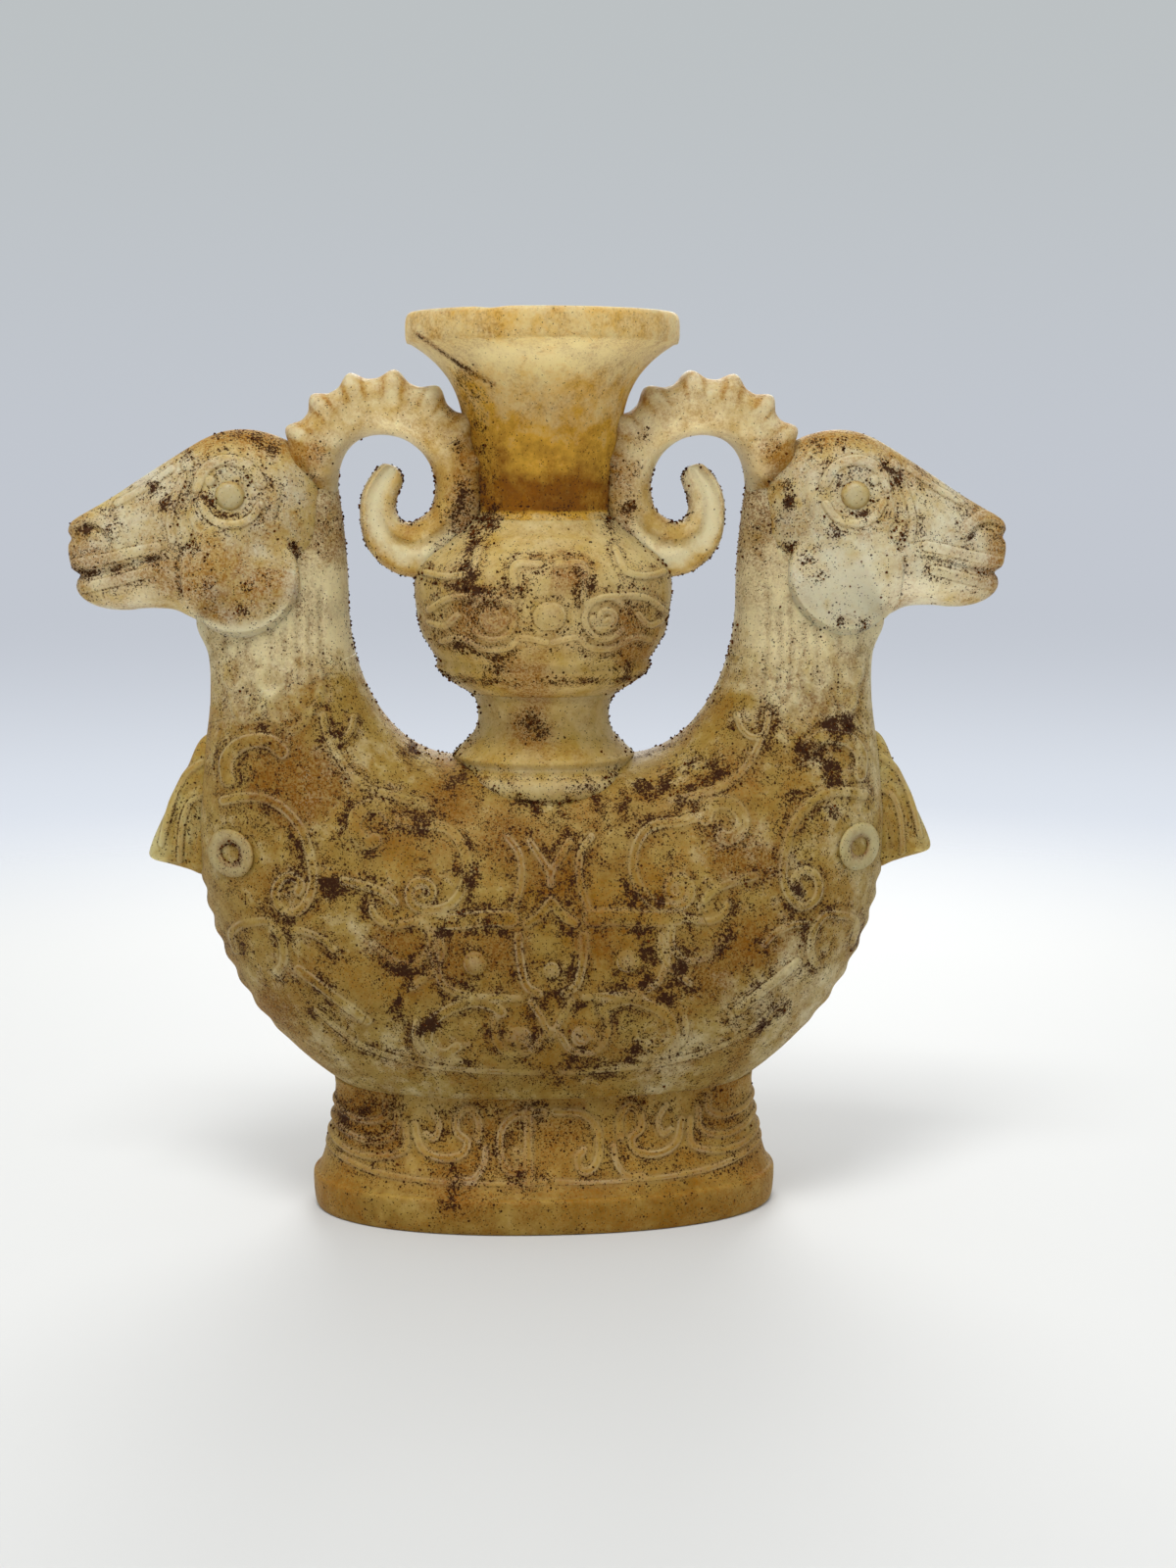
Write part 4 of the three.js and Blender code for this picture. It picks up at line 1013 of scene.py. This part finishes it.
head_soil = {
    "left": [
        (64, 122), (61, 119), (50, 131), (44, 128), (75, 115), (71, 115), (71, 109), (64, 110),
        (55, 106), (48, 106), (45, 107), (49, 102), (57, 112), (48, 123), (54, 120), (77, 108),
        (74, 108), (47, 129.5), (53, 130.4), (58, 127), (41, 112),
    ],
    "right": [
        (56, 125), (58, 122), (49, 129), (45, 129), (41, 120), (40, 122), (40, 119), (45, 107),
        (64, 119), (71, 114), (75, 113), (74, 107), (59, 114), (48, 100), (52, 99.5), (53, 121),
        (52, 117), (39, 116), (40, 112), (38, 108), (58.6, 123.4), (45, 112), (48, 114), (43, 110),
    ],
}
head_rust = {
    "left": [
        (53, 104), (57, 106), (61, 106), (65, 107.5), (48, 104), (69, 107), (73, 110), (76, 115),
        (45, 129), (50, 131), (50, 109), (54, 108), (46, 107), (50, 101.5), (63, 110), (58, 110),
        (45, 103.5), (43.5, 107), (54, 101),
    ],
    "right": [(77, 114), (76, 110), (76, 107), (73, 118), (62, 124), (57, 126), (58, 102.5)],
}
head_age = {"left": 0.26, "right": 0.18}
cheek_clearness = {"left": 0.0, "right": 0.24}


def head_reach(angle):
    """Distance from the head's middle to its outline at an angle, through the outline's points."""
    line = drawn(head_outline, 12) - (head_middle_x, head_middle_z)
    turn = np.unwrap(np.arctan2(line[:, 1], line[:, 0]))
    return np.interp((angle - turn[0]) % (2 * np.pi) + turn[0], turn, np.hypot(*line.T))


def head_half_depth(x, z):
    """Half the head's depth at a place inside the outline: d (1 - r^p)^(1/p), r the share of the way out.

    The eye's socket is taken off. Low down the cheek's disc swells out over the neck's own depth: half of
    e + sqrt(e^2 + 0.6) is added, where e is how far the neck stands out beyond the skull.
    """
    across, up = x - head_middle_x, z - head_middle_z
    out = np.clip(np.hypot(across, up) / head_reach(np.arctan2(up, across)), 0, 1)
    depth = mix(skull_half_depth, muzzle_half_depth, smooth((x - 54) / 20))
    base = depth * (1 - out**head_power) ** (1 / head_power)
    socket = np.exp(-((np.hypot(x - eye_x, z - eye_z) / socket_radius) ** 4))
    skull = base - socket_depth * socket * (out < 0.97)
    beside_neck = np.clip(np.abs(x - neck_middle_x) / neck_half_width, 0, 1)
    lap = (neck_half_depth - 0.5) * (1 - beside_neck**crescent_power) ** (1 / crescent_power)
    beyond = lap - skull
    over = 0.5 * (beyond + np.sqrt(beyond**2 + 0.6))
    disc = np.hypot(x - cheek_x, z - cheek_z) / cheek_radius
    return skull + over * smooth((1.03 - disc) / 0.06) * smooth((114 - z) / 9)


def head_shell(rows, turns):
    """The head's skin: on both faces rings go out from a pole to the outline, as the sine of an even turn."""
    angle = np.arange(turns) / turns * 2 * np.pi
    reach = head_reach(angle)
    level = np.linspace(0, np.pi, rows + 2)[1:-1]
    out = np.sin(level)[:, None]
    x = head_middle_x + out * reach * np.cos(angle)
    z = head_middle_z + out * reach * np.sin(angle)
    y = -np.sign(np.cos(level))[:, None] * head_half_depth(x, z)
    return np.stack([x, y, z], -1)


def head_marks(points, side):
    """The head's relief and its marks, with the dirt of its side: bells round the cheek, eye and spots."""
    x, y, z = points.T
    height, relief = cast_relief(x, z, head_strokes, head_studs)
    disc = np.hypot(x - cheek_x, z - cheek_z) / cheek_radius
    cheek = cheek_rise * smooth((1.02 - disc) / 0.1) * (0.15 + 0.85 * smooth((115 - z) / 11))
    rim = np.exp(-(((disc - 1.05) / 0.07) ** 2)) * (z < 113)
    # A pale crescent on the cheek disc's lower rim: a painted highlight.
    crescent = 1.9 * np.exp(-(((disc - 0.91) / 0.09) ** 2)) * smooth((105.5 - z) / 5)
    eye_ring = np.exp(-(((np.hypot(x - eye_x, z - eye_z) - 3) / 0.45) ** 2))
    here = np.where(y < 0, 1.0, 0.45)
    dirt = patches(x, z, [(a, b, 1.2, 0.72) for a, b in head_soil[side]]) * here
    old_stain = np.minimum(patches(x, z, [(a, b, 2.3, 0.5) for a, b in head_rust[side]]), 0.6) * here
    clear_cheek = np.exp(-(((x - cheek_x) ** 2 + (z - cheek_z + 1.5) ** 2) / 7.5**2)) * cheek_clearness[side]
    crown = 0.4 * smooth((z - 124) / 6) * smooth((x - 38) / 6)
    lower_edge = 0.3 * smooth((2.5 - np.abs(y)) / 2) * smooth((112 - z) / 6) * (disc > 1.1)
    nape = 0.25 * smooth((40.5 - x) / 3)
    muzzle = 0.24 * smooth((x - 68) / 10)
    marks = {
        "tone": head_age[side] + crown + muzzle + nape - clear_cheek - lower_edge,
        "wear_and_highlight": np.maximum(relief["wear_and_highlight"], crescent),
        "soil": np.clip(0.35 * relief["soil"] + 0.4 * rim + 0.35 * eye_ring + dirt + 0.04, 0, 1),
        "rust": 0.3 + old_stain + 0.4 * smooth((x - 73) / 4) + 0.3 * smooth((z - 127) / 3)
        - 1.2 * clear_cheek,
        "edge": relief["edge"],
    }
    ridge = smooth((np.abs(y) - 0.8) / 1.5)
    return height * ridge + cheek * smooth((np.abs(y) + 0.2) / 2), marks


head_glass = frosted_glass(
    "head_glass",
    thin=paint(232, 226, 196),
    middle=paint(204, 180, 112),
    thick=paint(158, 122, 38),
    rust=paint(150, 96, 12),
    rusting=0.7,
    staining=0.8,
    speckling=0.2,
    clearness=0.44,
)
for side, sign in (("left", -1), ("right", 1)):
    points, faces = skinned(head_shell(head_rows, head_turns))
    normals = normals_of(points, faces)
    height, marks = head_marks(points, side)
    points = (points + normals * height[:, None]) * (sign, 1, 1)
    faces = turned_outward(points, faces)
    cast(f"{side}_ram_head", head_glass, [f"{side}_head"], points, faces, marks)

# The horns: flat ram's horns with seven worn ribs on the outer edge. Each springs from the back of a head,
# arches over to the vase, is luted to it there, and curls back on itself.
horn_root = (26.4, 134.9)
horn_power = 2.9
horn_line = [
    (11.6, -19.5, 4.2), (11.9, -13.5, 4.4), (11.3, -8.2, 4.5), (8.9, -3.9, 4.4), (5.1, -1, 4.5),
    (0, 0, 4.6), (-5.4, -1.4, 4.4), (-9.8, -4.9, 4.3), (-12.2, -9.7, 4.2), (-12.6, -14.7, 4.2),
    (-11.2, -19.4, 4.4), (-7.6, -22.8, 4.8), (-3.8, -23.3, 4.5), (-0.5, -21.3, 3.8), (0.9, -17.9, 3.1),
    (0.6, -14.4, 2.9), (-1.1, -11.2, 2.4), (-2, -9.8, 1.4),
]
horn_rows, horn_turns = 620, 64
horn_ribs = 7
horn_first_rib, horn_last_rib = 0.115, 0.5
horn_rib_rise, horn_rib_swelling = 1.6, 0.4
horn_half_depth, horn_tip_half_depth = 6.0, 3.0
horn_root_share, horn_hollow_depth = 0.35, 1.2
horn_clumps = {
    "left": [
        (14, 116, 2.4, 1), (13.5, 120.5, 1.8, 0.9), (14, 128.5, 1.3, 0.8), (15, 134, 1, 0.7),
        (17, 112, 1.6, 0.7),
    ],
    "right": [(14.5, 113.5, 1.8, 0.9), (14, 118.5, 1.3, 0.8), (14.5, 124.5, 1.4, 0.6), (16, 130, 1, 0.6)],
}


def horn_shell(rows, turns):
    """The horn's skin: ovals |u|^p + |v|^p = 1 stand across a line through the horn's points.

    Ribs are bells of (half a cosine)^1.5 along the line. They stand out on the outer edge and die out on the
    faces, and a mark "groove" lies at their feet, where shade is painted darker. Past the ribs the faces are
    hollowed by a parabola across them. The root is thinned where it enters the head, and the tip is rounded
    off.
    """
    places = np.linspace(0, len(horn_line) - 1, rows)
    line = through(horn_line, places)
    share = places / (len(horn_line) - 1)
    along = np.gradient(line[:, :2], axis=0)
    along /= np.linalg.norm(along, axis=1, keepdims=True)
    outward = np.stack([-along[:, 1], along[:, 0]], -1)
    outward *= np.where((outward * (line[:, :2] - (0.5, -12))).sum(1).mean() < 0, -1, 1)
    ends = np.sqrt(np.clip(1 - np.clip((share - 0.965) / 0.035, 0, 1) ** 2, 0.02, 1))
    half = line[:, 2] * ends
    deep = mix(horn_half_depth, horn_tip_half_depth, smooth((share - 0.5) / 0.5)) * ends
    deep = deep * mix(horn_root_share, 1, smooth((share - 0.03) / 0.11))
    angle = np.arange(turns) / turns * 2 * np.pi
    c, s = np.cos(angle), np.sin(angle)
    u = np.sign(c) * np.abs(c) ** (2 / horn_power)
    v = np.sign(s) * np.abs(s) ** (2 / horn_power)
    phase = (share - horn_first_rib) / (horn_last_rib - horn_first_rib) * horn_ribs
    ribbed = (phase > 0) & (phase < horn_ribs)
    bell = (0.5 - 0.5 * np.cos(2 * np.pi * phase)) ** 1.5 * ribbed
    rib = bell[:, None] * (smooth((u + 0.35) / 1.35) ** 1.5)[None, :]
    across_hollow = 1 - np.clip(np.abs(u - 0.2) / 0.55, 0, 1) ** 2
    hollow = smooth((share - 0.5) / 0.12)[:, None] * across_hollow[None, :]
    wide = half[:, None] * u + horn_rib_rise * rib * (u > -0.3)
    thick = deep[:, None] + horn_rib_swelling * rib - horn_hollow_depth * hollow * ends[:, None] ** 2
    x = horn_root[0] + line[:, 0, None] + outward[:, 0, None] * wide
    z = horn_root[1] + line[:, 1, None] + outward[:, 1, None] * wide
    groove = np.exp(-(((bell - 0.4) / 0.25) ** 2))[:, None] * smooth((u - 0.1) / 0.4)[None, :]
    forms = {
        "rib": rib,
        "hollow": hollow,
        "edge": np.broadcast_to(u[None, :], x.shape),
        "groove": groove * ribbed[:, None],
    }
    return np.stack([x, thick * v, z], -1), share, forms


horn_glass = frosted_glass(
    "horn_glass",
    thin=paint(236, 224, 180),
    middle=paint(202, 170, 92),
    thick=paint(156, 112, 22),
    rust=paint(150, 90, 4),
    rusting=0.75,
    speckling=0.1,
    clearness=0.44,
)
for side, sign in (("left", -1), ("right", 1)):
    rings, share, forms = horn_shell(horn_rows, horn_turns)
    points, faces = skinned(rings)
    points = points * (sign, 1, 1)
    faces = turned_outward(points, faces)
    x, y, z = points.T
    across = np.abs(x)
    along = np.concatenate([np.repeat(share, horn_turns), [0, 1]])
    forms = {key: np.concatenate([form.ravel(), [0, 0]]) for key, form in forms.items()}
    root_spot = patches(across, z, [(37, 127.5, 1.8, 0.6), (38.5, 123, 1.5, 0.4)])
    root_stain = patches(across, z, [(39.5, 126.5, 2.4, 1), (37, 122, 1.8, 0.6)])
    clumps = patches(across, z, horn_clumps[side]) * (along > 0.3)
    rim = smooth((np.abs(forms["edge"]) - 0.72) / 0.2)
    # Painted highlight: the inner edge of the arch is paler, as if lit from behind.
    arch_highlight = smooth((0.46 - along) / 0.06) * smooth((-0.6 - forms["edge"]) / 0.3)
    curl = smooth((along - 0.5) / 0.1)
    joint = smooth((along - 0.42) / 0.06) * smooth((0.66 - along) / 0.08) * smooth((15.5 - across) / 2)
    stained = 0.5 * joint + 0.5 * clumps + root_spot + 0.7 * root_stain
    marks = {
        # Painted light and shade: the ribs are a little paler and the grooves at their feet darker; rust lies
        # in the grooves too.
        "tone": 0.24 - 0.1 * forms["rib"] + 0.25 * forms["groove"] + 0.3 * smooth((along - 0.42) / 0.15)
        - 0.5 * forms["hollow"] + 0.35 * root_stain - 0.25 * smooth((along - 0.72) / 0.1),
        "wear_and_highlight": 0.2 * forms["rib"] * rim + arch_highlight + 0.15 * smooth((along - 0.6) / 0.1) * rim,
        "soil": np.clip(0.25 * joint + clumps + 0.3 * curl * rim + root_spot, 0, 1),
        "rust": 0.3 + stained + 0.4 * forms["groove"] + 0.15 * rim - 0.3 * forms["hollow"],
    }
    cast(f"{side}_curled_horn", horn_glass, [f"{side}_horn"], points, faces, marks)

# The breast fins: a pointed wing low on the front of each ram's breast, cast with the belly, with folds in it
# like a shell's.
fin_top = 82.5
fin_height = 25.5
fin_inner_x, fin_outer_x = 56.8, 66.3
fin_half_depth = 4.4
fin_power = 3.0
fin_row_count, fin_turns = 110, 120
fin_rows = [
    (-0.63, 0.02, 0, 1), (0, 0.08, 0, 0.95), (0.3, 0.28, 0.04, 0.85), (0.6, 0.5, 0.075, 0.74),
    (0.85, 0.69, 0.1, 0.6), (0.96, 0.79, 0.12, 0.45), (1, 0.84, 0.145, 0.22),
]
fin_folds = [
    (0.5, 0.45, [(57, 76.5), (59.4, 74.6), (61.4, 71.6), (62.8, 67.4), (64, 62.8)]),
    (0.45, 0.4, [(56.5, 71), (58.8, 70), (60.2, 67), (60.8, 63), (61, 60)]),
    (0.45, -0.35, [(57.6, 72.8), (60, 71.2), (61.6, 67.6), (62.4, 62.6)]),
    (0.4, -0.35, [(57, 66.8), (58.4, 64.6), (58.8, 60.8)]),
]
fin_glass = frosted_glass(
    "fin_glass",
    thin=paint(208, 196, 136),
    middle=paint(176, 148, 68),
    thick=paint(142, 114, 44),
    rust=paint(140, 86, 6),
    rusting=0.7,
    speckling=0.14,
    clearness=0.4,
)
for side, sign in (("left", -1), ("right", 1)):
    rows = through(fin_rows, np.linspace(0, len(fin_rows) - 1, fin_row_count))
    x = mix(fin_inner_x, fin_outer_x, rows[:, 0])
    top = fin_top - fin_height * rows[:, 1]
    bottom = fin_top - fin_height * (1 - rows[:, 2])
    angle = np.arange(fin_turns) / fin_turns * 2 * np.pi
    c, s = np.cos(angle), np.sin(angle)
    up = np.sign(s) * np.abs(s) ** (2 / fin_power)
    sideways = np.sign(c) * np.abs(c) ** (2 / fin_power)
    z = ((top + bottom) / 2)[:, None] + ((top - bottom) / 2)[:, None] * up
    y = (fin_half_depth * rows[:, 3])[:, None] * sideways
    points, faces = skinned(np.stack([np.broadcast_to(x[:, None], z.shape), y, z], -1))
    normals = normals_of(points, faces)
    height, relief = cast_relief(points[:, 0], points[:, 2], fin_folds)
    points = (points + normals * (height * smooth(np.abs(points[:, 1]) / 1.5))[:, None]) * (sign, 1, 1)
    faces = turned_outward(points, faces)
    x, y, z = points.T
    marks = {
        "tone": 0.5 - 0.45 * smooth((np.abs(x) - 62) / 3),
        "wear_and_highlight": relief["wear_and_highlight"],
        "soil": np.clip(0.2 * relief["soil"] + 0.1 * smooth((59.5 - np.abs(x)) / 1.5), 0, 1),
        "rust": 0.2 + 0.3 * smooth((59 - z) / 2),
        "edge": relief["edge"],
    }
    cast(f"{side}_breast_wing", fin_glass, [f"{side}_breast_fin"], points, faces, marks)

# The eyes: round clear buttons of glass, one on each side of each head. Each is pressed into its socket while
# the glass is hot. Its glass is less rough, and a glint is painted pale on its top.
eye_radius = 2.4
eye_bulge = 1.2
eye_turns = 72
eye_profile = [(0, 1), (0.35, 0.96), (0.6, 0.84), (0.8, 0.62), (0.93, 0.34), (1, 0), (1, -0.6), (0.9, -1)]
button_glass = frosted_glass(
    "button_glass",
    thin=paint(222, 212, 172),
    middle=paint(202, 182, 122),
    thick=paint(160, 130, 60),
    rust=paint(150, 96, 20),
    rusting=0.5,
    speckling=0.06,
    clearness=0.45,
    roughness=0.38,
)
for side, sign in (("left", -1), ("right", 1)):
    for face, way in (("front", -1), ("back", 1)):
        seat = head_half_depth(np.array([eye_x]), np.array([eye_z]))[0]
        profile = drawn([(max(r, 0.004) * eye_radius, h * eye_bulge) for r, h in eye_profile], 5)
        points, faces = skinned(turned(profile, eye_turns))
        points = np.stack([eye_x + points[:, 0], way * (seat + points[:, 2]), eye_z + points[:, 1]], -1)
        points = points * (sign, 1, 1)
        faces = turned_outward(points, faces)
        out = np.hypot(np.abs(points[:, 0]) - eye_x, points[:, 2] - eye_z) / eye_radius
        outer_part = smooth((out - 0.6) / 0.4)
        marks = {
            "tone": 0.2 + 0.4 * outer_part,
            # A painted glint: the top of the button is paler.
            "wear_and_highlight": 0.25 * smooth(1 - 1.6 * out),
            "soil": 0.35 * smooth((out - 0.85) / 0.15),
            "rust": 0.4 * outer_part,
        }
        name = f"{side}_ram_eye_{face}"
        cast(name, button_glass, [f"{side}_eye_{face}"], points, faces, marks)

# The shoulder bosses: small rings with a pit in the middle, one on each side of each breast. They are of the
# belly's glass and stick to its swell, half sunk.
boss_x, boss_z = 51.8, 62.7
boss_ring_radius = 2.75
boss_ring_half_width = 1.25
boss_ring_rise = 0.85
boss_sink = 0.1
boss_reach = 1.5
boss_turns, boss_rows = 96, 28
boss_age = {"left": 0.35, "right": 0.1}
boss_glass = frosted_glass(
    "boss_glass",
    thin=paint(202, 188, 132),
    middle=paint(170, 145, 76),
    thick=paint(124, 96, 30),
    rust=paint(120, 64, 0),
    rusting=0.7,
    speckling=0.2,
    clearness=0.4,
)


def crescent_surface(x, z):
    """Depth of the crescent's front at a place x, z near the breast, from the nearest points of a grid."""
    stations = np.linspace(4, 10, 240)
    angles = np.broadcast_to(np.linspace(np.pi, 0, 200), (240, 200))
    grid = crescent_rings(stations, angles).reshape(-1, 3)
    nearest = np.hypot(grid[:, 0] - x, grid[:, 2] - z).argsort()[:12]
    return -grid[nearest, 1].mean()


for side, sign in (("left", -1), ("right", 1)):
    for face, way in (("front", -1), ("back", 1)):
        middle = crescent_surface(boss_x, boss_z)
        ahead, behind = (crescent_surface(boss_x + step, boss_z) for step in (boss_reach, -boss_reach))
        above, below = (crescent_surface(boss_x, boss_z + step) for step in (boss_reach, -boss_reach))
        slope_x = (ahead - behind) / (2 * boss_reach)
        slope_z = (above - below) / (2 * boss_reach)
        turn = np.arange(boss_turns) / boss_turns * 2 * np.pi
        ring = np.arange(boss_rows) / boss_rows * 2 * np.pi
        radius = boss_ring_radius + boss_ring_half_width * np.cos(ring)[:, None]
        a, b = radius * np.cos(turn), radius * np.sin(turn)
        up = boss_ring_rise * np.sin(ring)[:, None] + 0.1 * np.cos(3 * turn + 1)
        y = middle + slope_x * a + slope_z * b + up - boss_sink
        points = np.stack([boss_x + a, way * y, boss_z + b], -1).reshape(-1, 3) * (sign, 1, 1)
        faces = turned_outward(points, [grid_faces(boss_rows, boss_turns, round_rows=True)])
        inner = np.repeat(smooth(-np.cos(ring)), boss_turns)
        top = np.repeat(smooth(np.sin(ring)), boss_turns)
        marks = {
            "tone": boss_age[side] + 0.3 - 0.3 * top,
            "wear_and_highlight": 0.3 * top,
            "soil": 2.2 * boss_age[side] * inner,
            "rust": boss_age[side] + inner,
        }
        name = f"{side}_shoulder_ring_{face}"
        cast(name, boss_glass, [f"{side}_shoulder_boss_{face}"], points, faces, marks)

# The soil that still clings: crumbs from a fifth to two thirds of a millimetre, thickest where dirt was
# caught. They are eight-sided lumps, each turned and stretched its own way and half sunk in the skin.
crumb_count = 6500
crumb_smallest, crumb_largest = 0.09, 0.34
chance = np.random.default_rng(7)
bed_points, bed_normals, bed_soil = (np.concatenate(column) for column in zip(*soil_beds))
sideways = smooth((np.hypot(bed_normals[:, 0], bed_normals[:, 2]) - 0.93) / 0.05)
across, level = np.abs(bed_points[:, 0]), bed_points[:, 2]
inner_edges = sideways * (across > 8) * (across < 39) * (level > 76) * (level < 125)
likely = 0.006 + np.clip(bed_soil - 0.2, 0, 1) ** 1.5 + 0.25 * inner_edges
likely *= (level > 8) * (level < 133) * np.where(across > 60, 0.2, 1.0)
chosen = chance.choice(len(bed_points), crumb_count, p=likely / likely.sum())
size = mix(crumb_smallest, crumb_largest, chance.random(crumb_count) ** 2.5)
turn = chance.normal(size=(crumb_count, 4))
w, i, j, k = (turn / np.linalg.norm(turn, axis=1, keepdims=True)).T
turned_axes = np.stack([
    np.stack([1 - 2 * (j * j + k * k), 2 * (i * j - k * w), 2 * (i * k + j * w)], -1),
    np.stack([2 * (i * j + k * w), 1 - 2 * (i * i + k * k), 2 * (j * k - i * w)], -1),
    np.stack([2 * (i * k - j * w), 2 * (j * k + i * w), 1 - 2 * (i * i + j * j)], -1),
], 1)
corners = np.array([(1, 0, 0), (-1, 0, 0), (0, 1, 0), (0, -1, 0), (0, 0, 1), (0, 0, -1)], float)
corners = corners[None] * chance.uniform(0.7, 1.25, (crumb_count, 6, 1)) * size[:, None, None]
middles = bed_points[chosen] + bed_normals[chosen] * (0.25 * size)[:, None]
points = (middles[:, None, :] + np.einsum("nij,nkj->nki", turned_axes, corners)).reshape(-1, 3)
lump = np.array([(0, 2, 4), (2, 1, 4), (1, 3, 4), (3, 0, 4), (2, 0, 5), (1, 2, 5), (3, 1, 5), (0, 3, 5)])
faces = (lump[None] + 6 * np.arange(crumb_count)[:, None, None]).reshape(-1, 3)
soil_material = bpy.data.materials.new("dry_soil")
soil_material.use_nodes = True
tree = soil_material.node_tree
tree.nodes.clear()
place = node_in(tree, "TexCoord", {}).outputs["Object"]
shade = noise(tree, place, 900.0, 3.0)
earth = between(tree, stepped(tree, shade, 0.35, 0.65), paint(38, 16, 4), paint(92, 48, 12))
crust = node_in(tree, "Bump", {"Height": noise(tree, place, 4000.0), "Strength": 0.5, "Distance": 0.00005})
shader = node_in(tree, "BsdfPrincipled", {"Base Color": earth, "Roughness": 0.95, "Specular IOR Level": 0.08,
                                          "Normal": crust.outputs[0]})
node_in(tree, "OutputMaterial", {"Surface": shader.outputs[0]})
mesh = bpy.data.meshes.new("clinging_soil")
mesh.from_pydata(points * millimetre, [], faces.tolist())
mesh.materials.append(soil_material)
crumbs = bpy.data.objects.new("clinging_soil", mesh)
bpy.context.scene.collection.objects.link(crumbs)
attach(crumbs, "root")

# The stage: a pale tabletop, a bright backdrop seen by the camera only, a wide soft lamp overhead and a
# weaker one behind, which lights the edges of the glass.
floor_colour = paint(203, 204, 203)
room_strength = 0.73
floor = bpy.data.objects.new("tabletop", bpy.data.meshes.new("tabletop"))
disc = bmesh.new()
bmesh.ops.create_circle(disc, cap_ends=True, cap_tris=True, segments=128, radius=0.9)
disc.to_mesh(floor.data)
disc.free()
bpy.context.scene.collection.objects.link(floor)
floor_paint = bpy.data.materials.new("tabletop_paint")
floor_paint.use_nodes = True
tree = floor_paint.node_tree
tree.nodes.clear()
place = node_in(tree, "TexCoord", {}).outputs["Object"]
away = node_in(tree, "VectorMath", {0: place}, operation="LENGTH").outputs["Value"]
gone = stepped(tree, away, 0.22, 0.5)
sheet = node_in(tree, "BsdfPrincipled", {"Base Color": floor_colour, "Roughness": 0.7})
clear = node_in(tree, "BsdfTransparent", {})
blend = node_in(tree, "MixShader", {0: gone, 1: sheet.outputs[0], 2: clear.outputs[0]})
node_in(tree, "OutputMaterial", {"Surface": blend.outputs[0]})
floor.data.materials.append(floor_paint)

world = bpy.data.worlds.new("soft_room")
bpy.context.scene.world = world
world.use_nodes = True
tree = world.node_tree
tree.nodes.clear()
direction = node_in(tree, "TexCoord", {}).outputs["Generated"]
level = node_in(tree, "SeparateXYZ", {"Vector": direction}).outputs["Z"]
low = between(tree, stepped(tree, level, -0.16, -0.06), paint(224, 230, 239), paint(194, 199, 208))
seen = between(tree, stepped(tree, level, -0.05, 0.2), low, paint(188, 193, 195))
rays = node_in(tree, "LightPath", {}).outputs
direct = worked(tree, "MAXIMUM", rays["Is Camera Ray"], rays["Is Glossy Ray"])
direct = worked(tree, "MAXIMUM", direct, rays["Is Transmission Ray"])
backdrop = node_in(tree, "Background", {"Color": seen, "Strength": 1.0})
room = node_in(tree, "Background", {"Color": (1.0, 1.0, 1.0, 1.0), "Strength": room_strength})
sky = node_in(tree, "MixShader", {0: direct, 1: room.outputs[0], 2: backdrop.outputs[0]})
node_in(tree, "OutputWorld", {"Surface": sky.outputs[0]})


def soft_lamp(name, power, size, place, aim):
    """A square area lamp that stands at a place and faces another."""
    lamp = bpy.data.lights.new(name, "AREA")
    lamp.energy = power
    lamp.size = size
    stand = bpy.data.objects.new(name, lamp)
    stand.location = place
    stand.rotation_euler = (Vector(aim) - Vector(place)).to_track_quat("-Z", "Y").to_euler()
    bpy.context.scene.collection.objects.link(stand)


soft_lamp("overhead_lamp", 5.8, 0.32, (-0.12, -0.4, 0.92), (0, 0, 0.08))
soft_lamp("back_lamp", 4.0, 0.5, (0.1, 0.75, 0.45), (0, 0, 0.08))

# The camera stands as far off as the photograph's, a little to the left of the vase's middle, at the height
# of the rams' foreheads, and looks slightly down.
camera = bpy.data.objects.new("camera", bpy.data.cameras.new("camera"))
camera.data.lens = 54
camera.data.sensor_width = 36
camera_distance = 0.3945
camera_turn = np.radians(-3.84)
camera_height = 0.1261
aside = 0.0075
back = np.array([np.sin(camera_turn), -np.cos(camera_turn)])
right = np.array([np.cos(camera_turn), np.sin(camera_turn)])
stand_x, stand_y = back * camera_distance + right * aside
look_down = np.radians(7.83)
camera.location = (stand_x, stand_y, camera_height)
camera.rotation_euler = (np.pi / 2 - look_down, 0, camera_turn)
bpy.context.scene.collection.objects.link(camera)
bpy.context.scene.camera = camera
bpy.context.scene.view_settings.view_transform = "Standard"
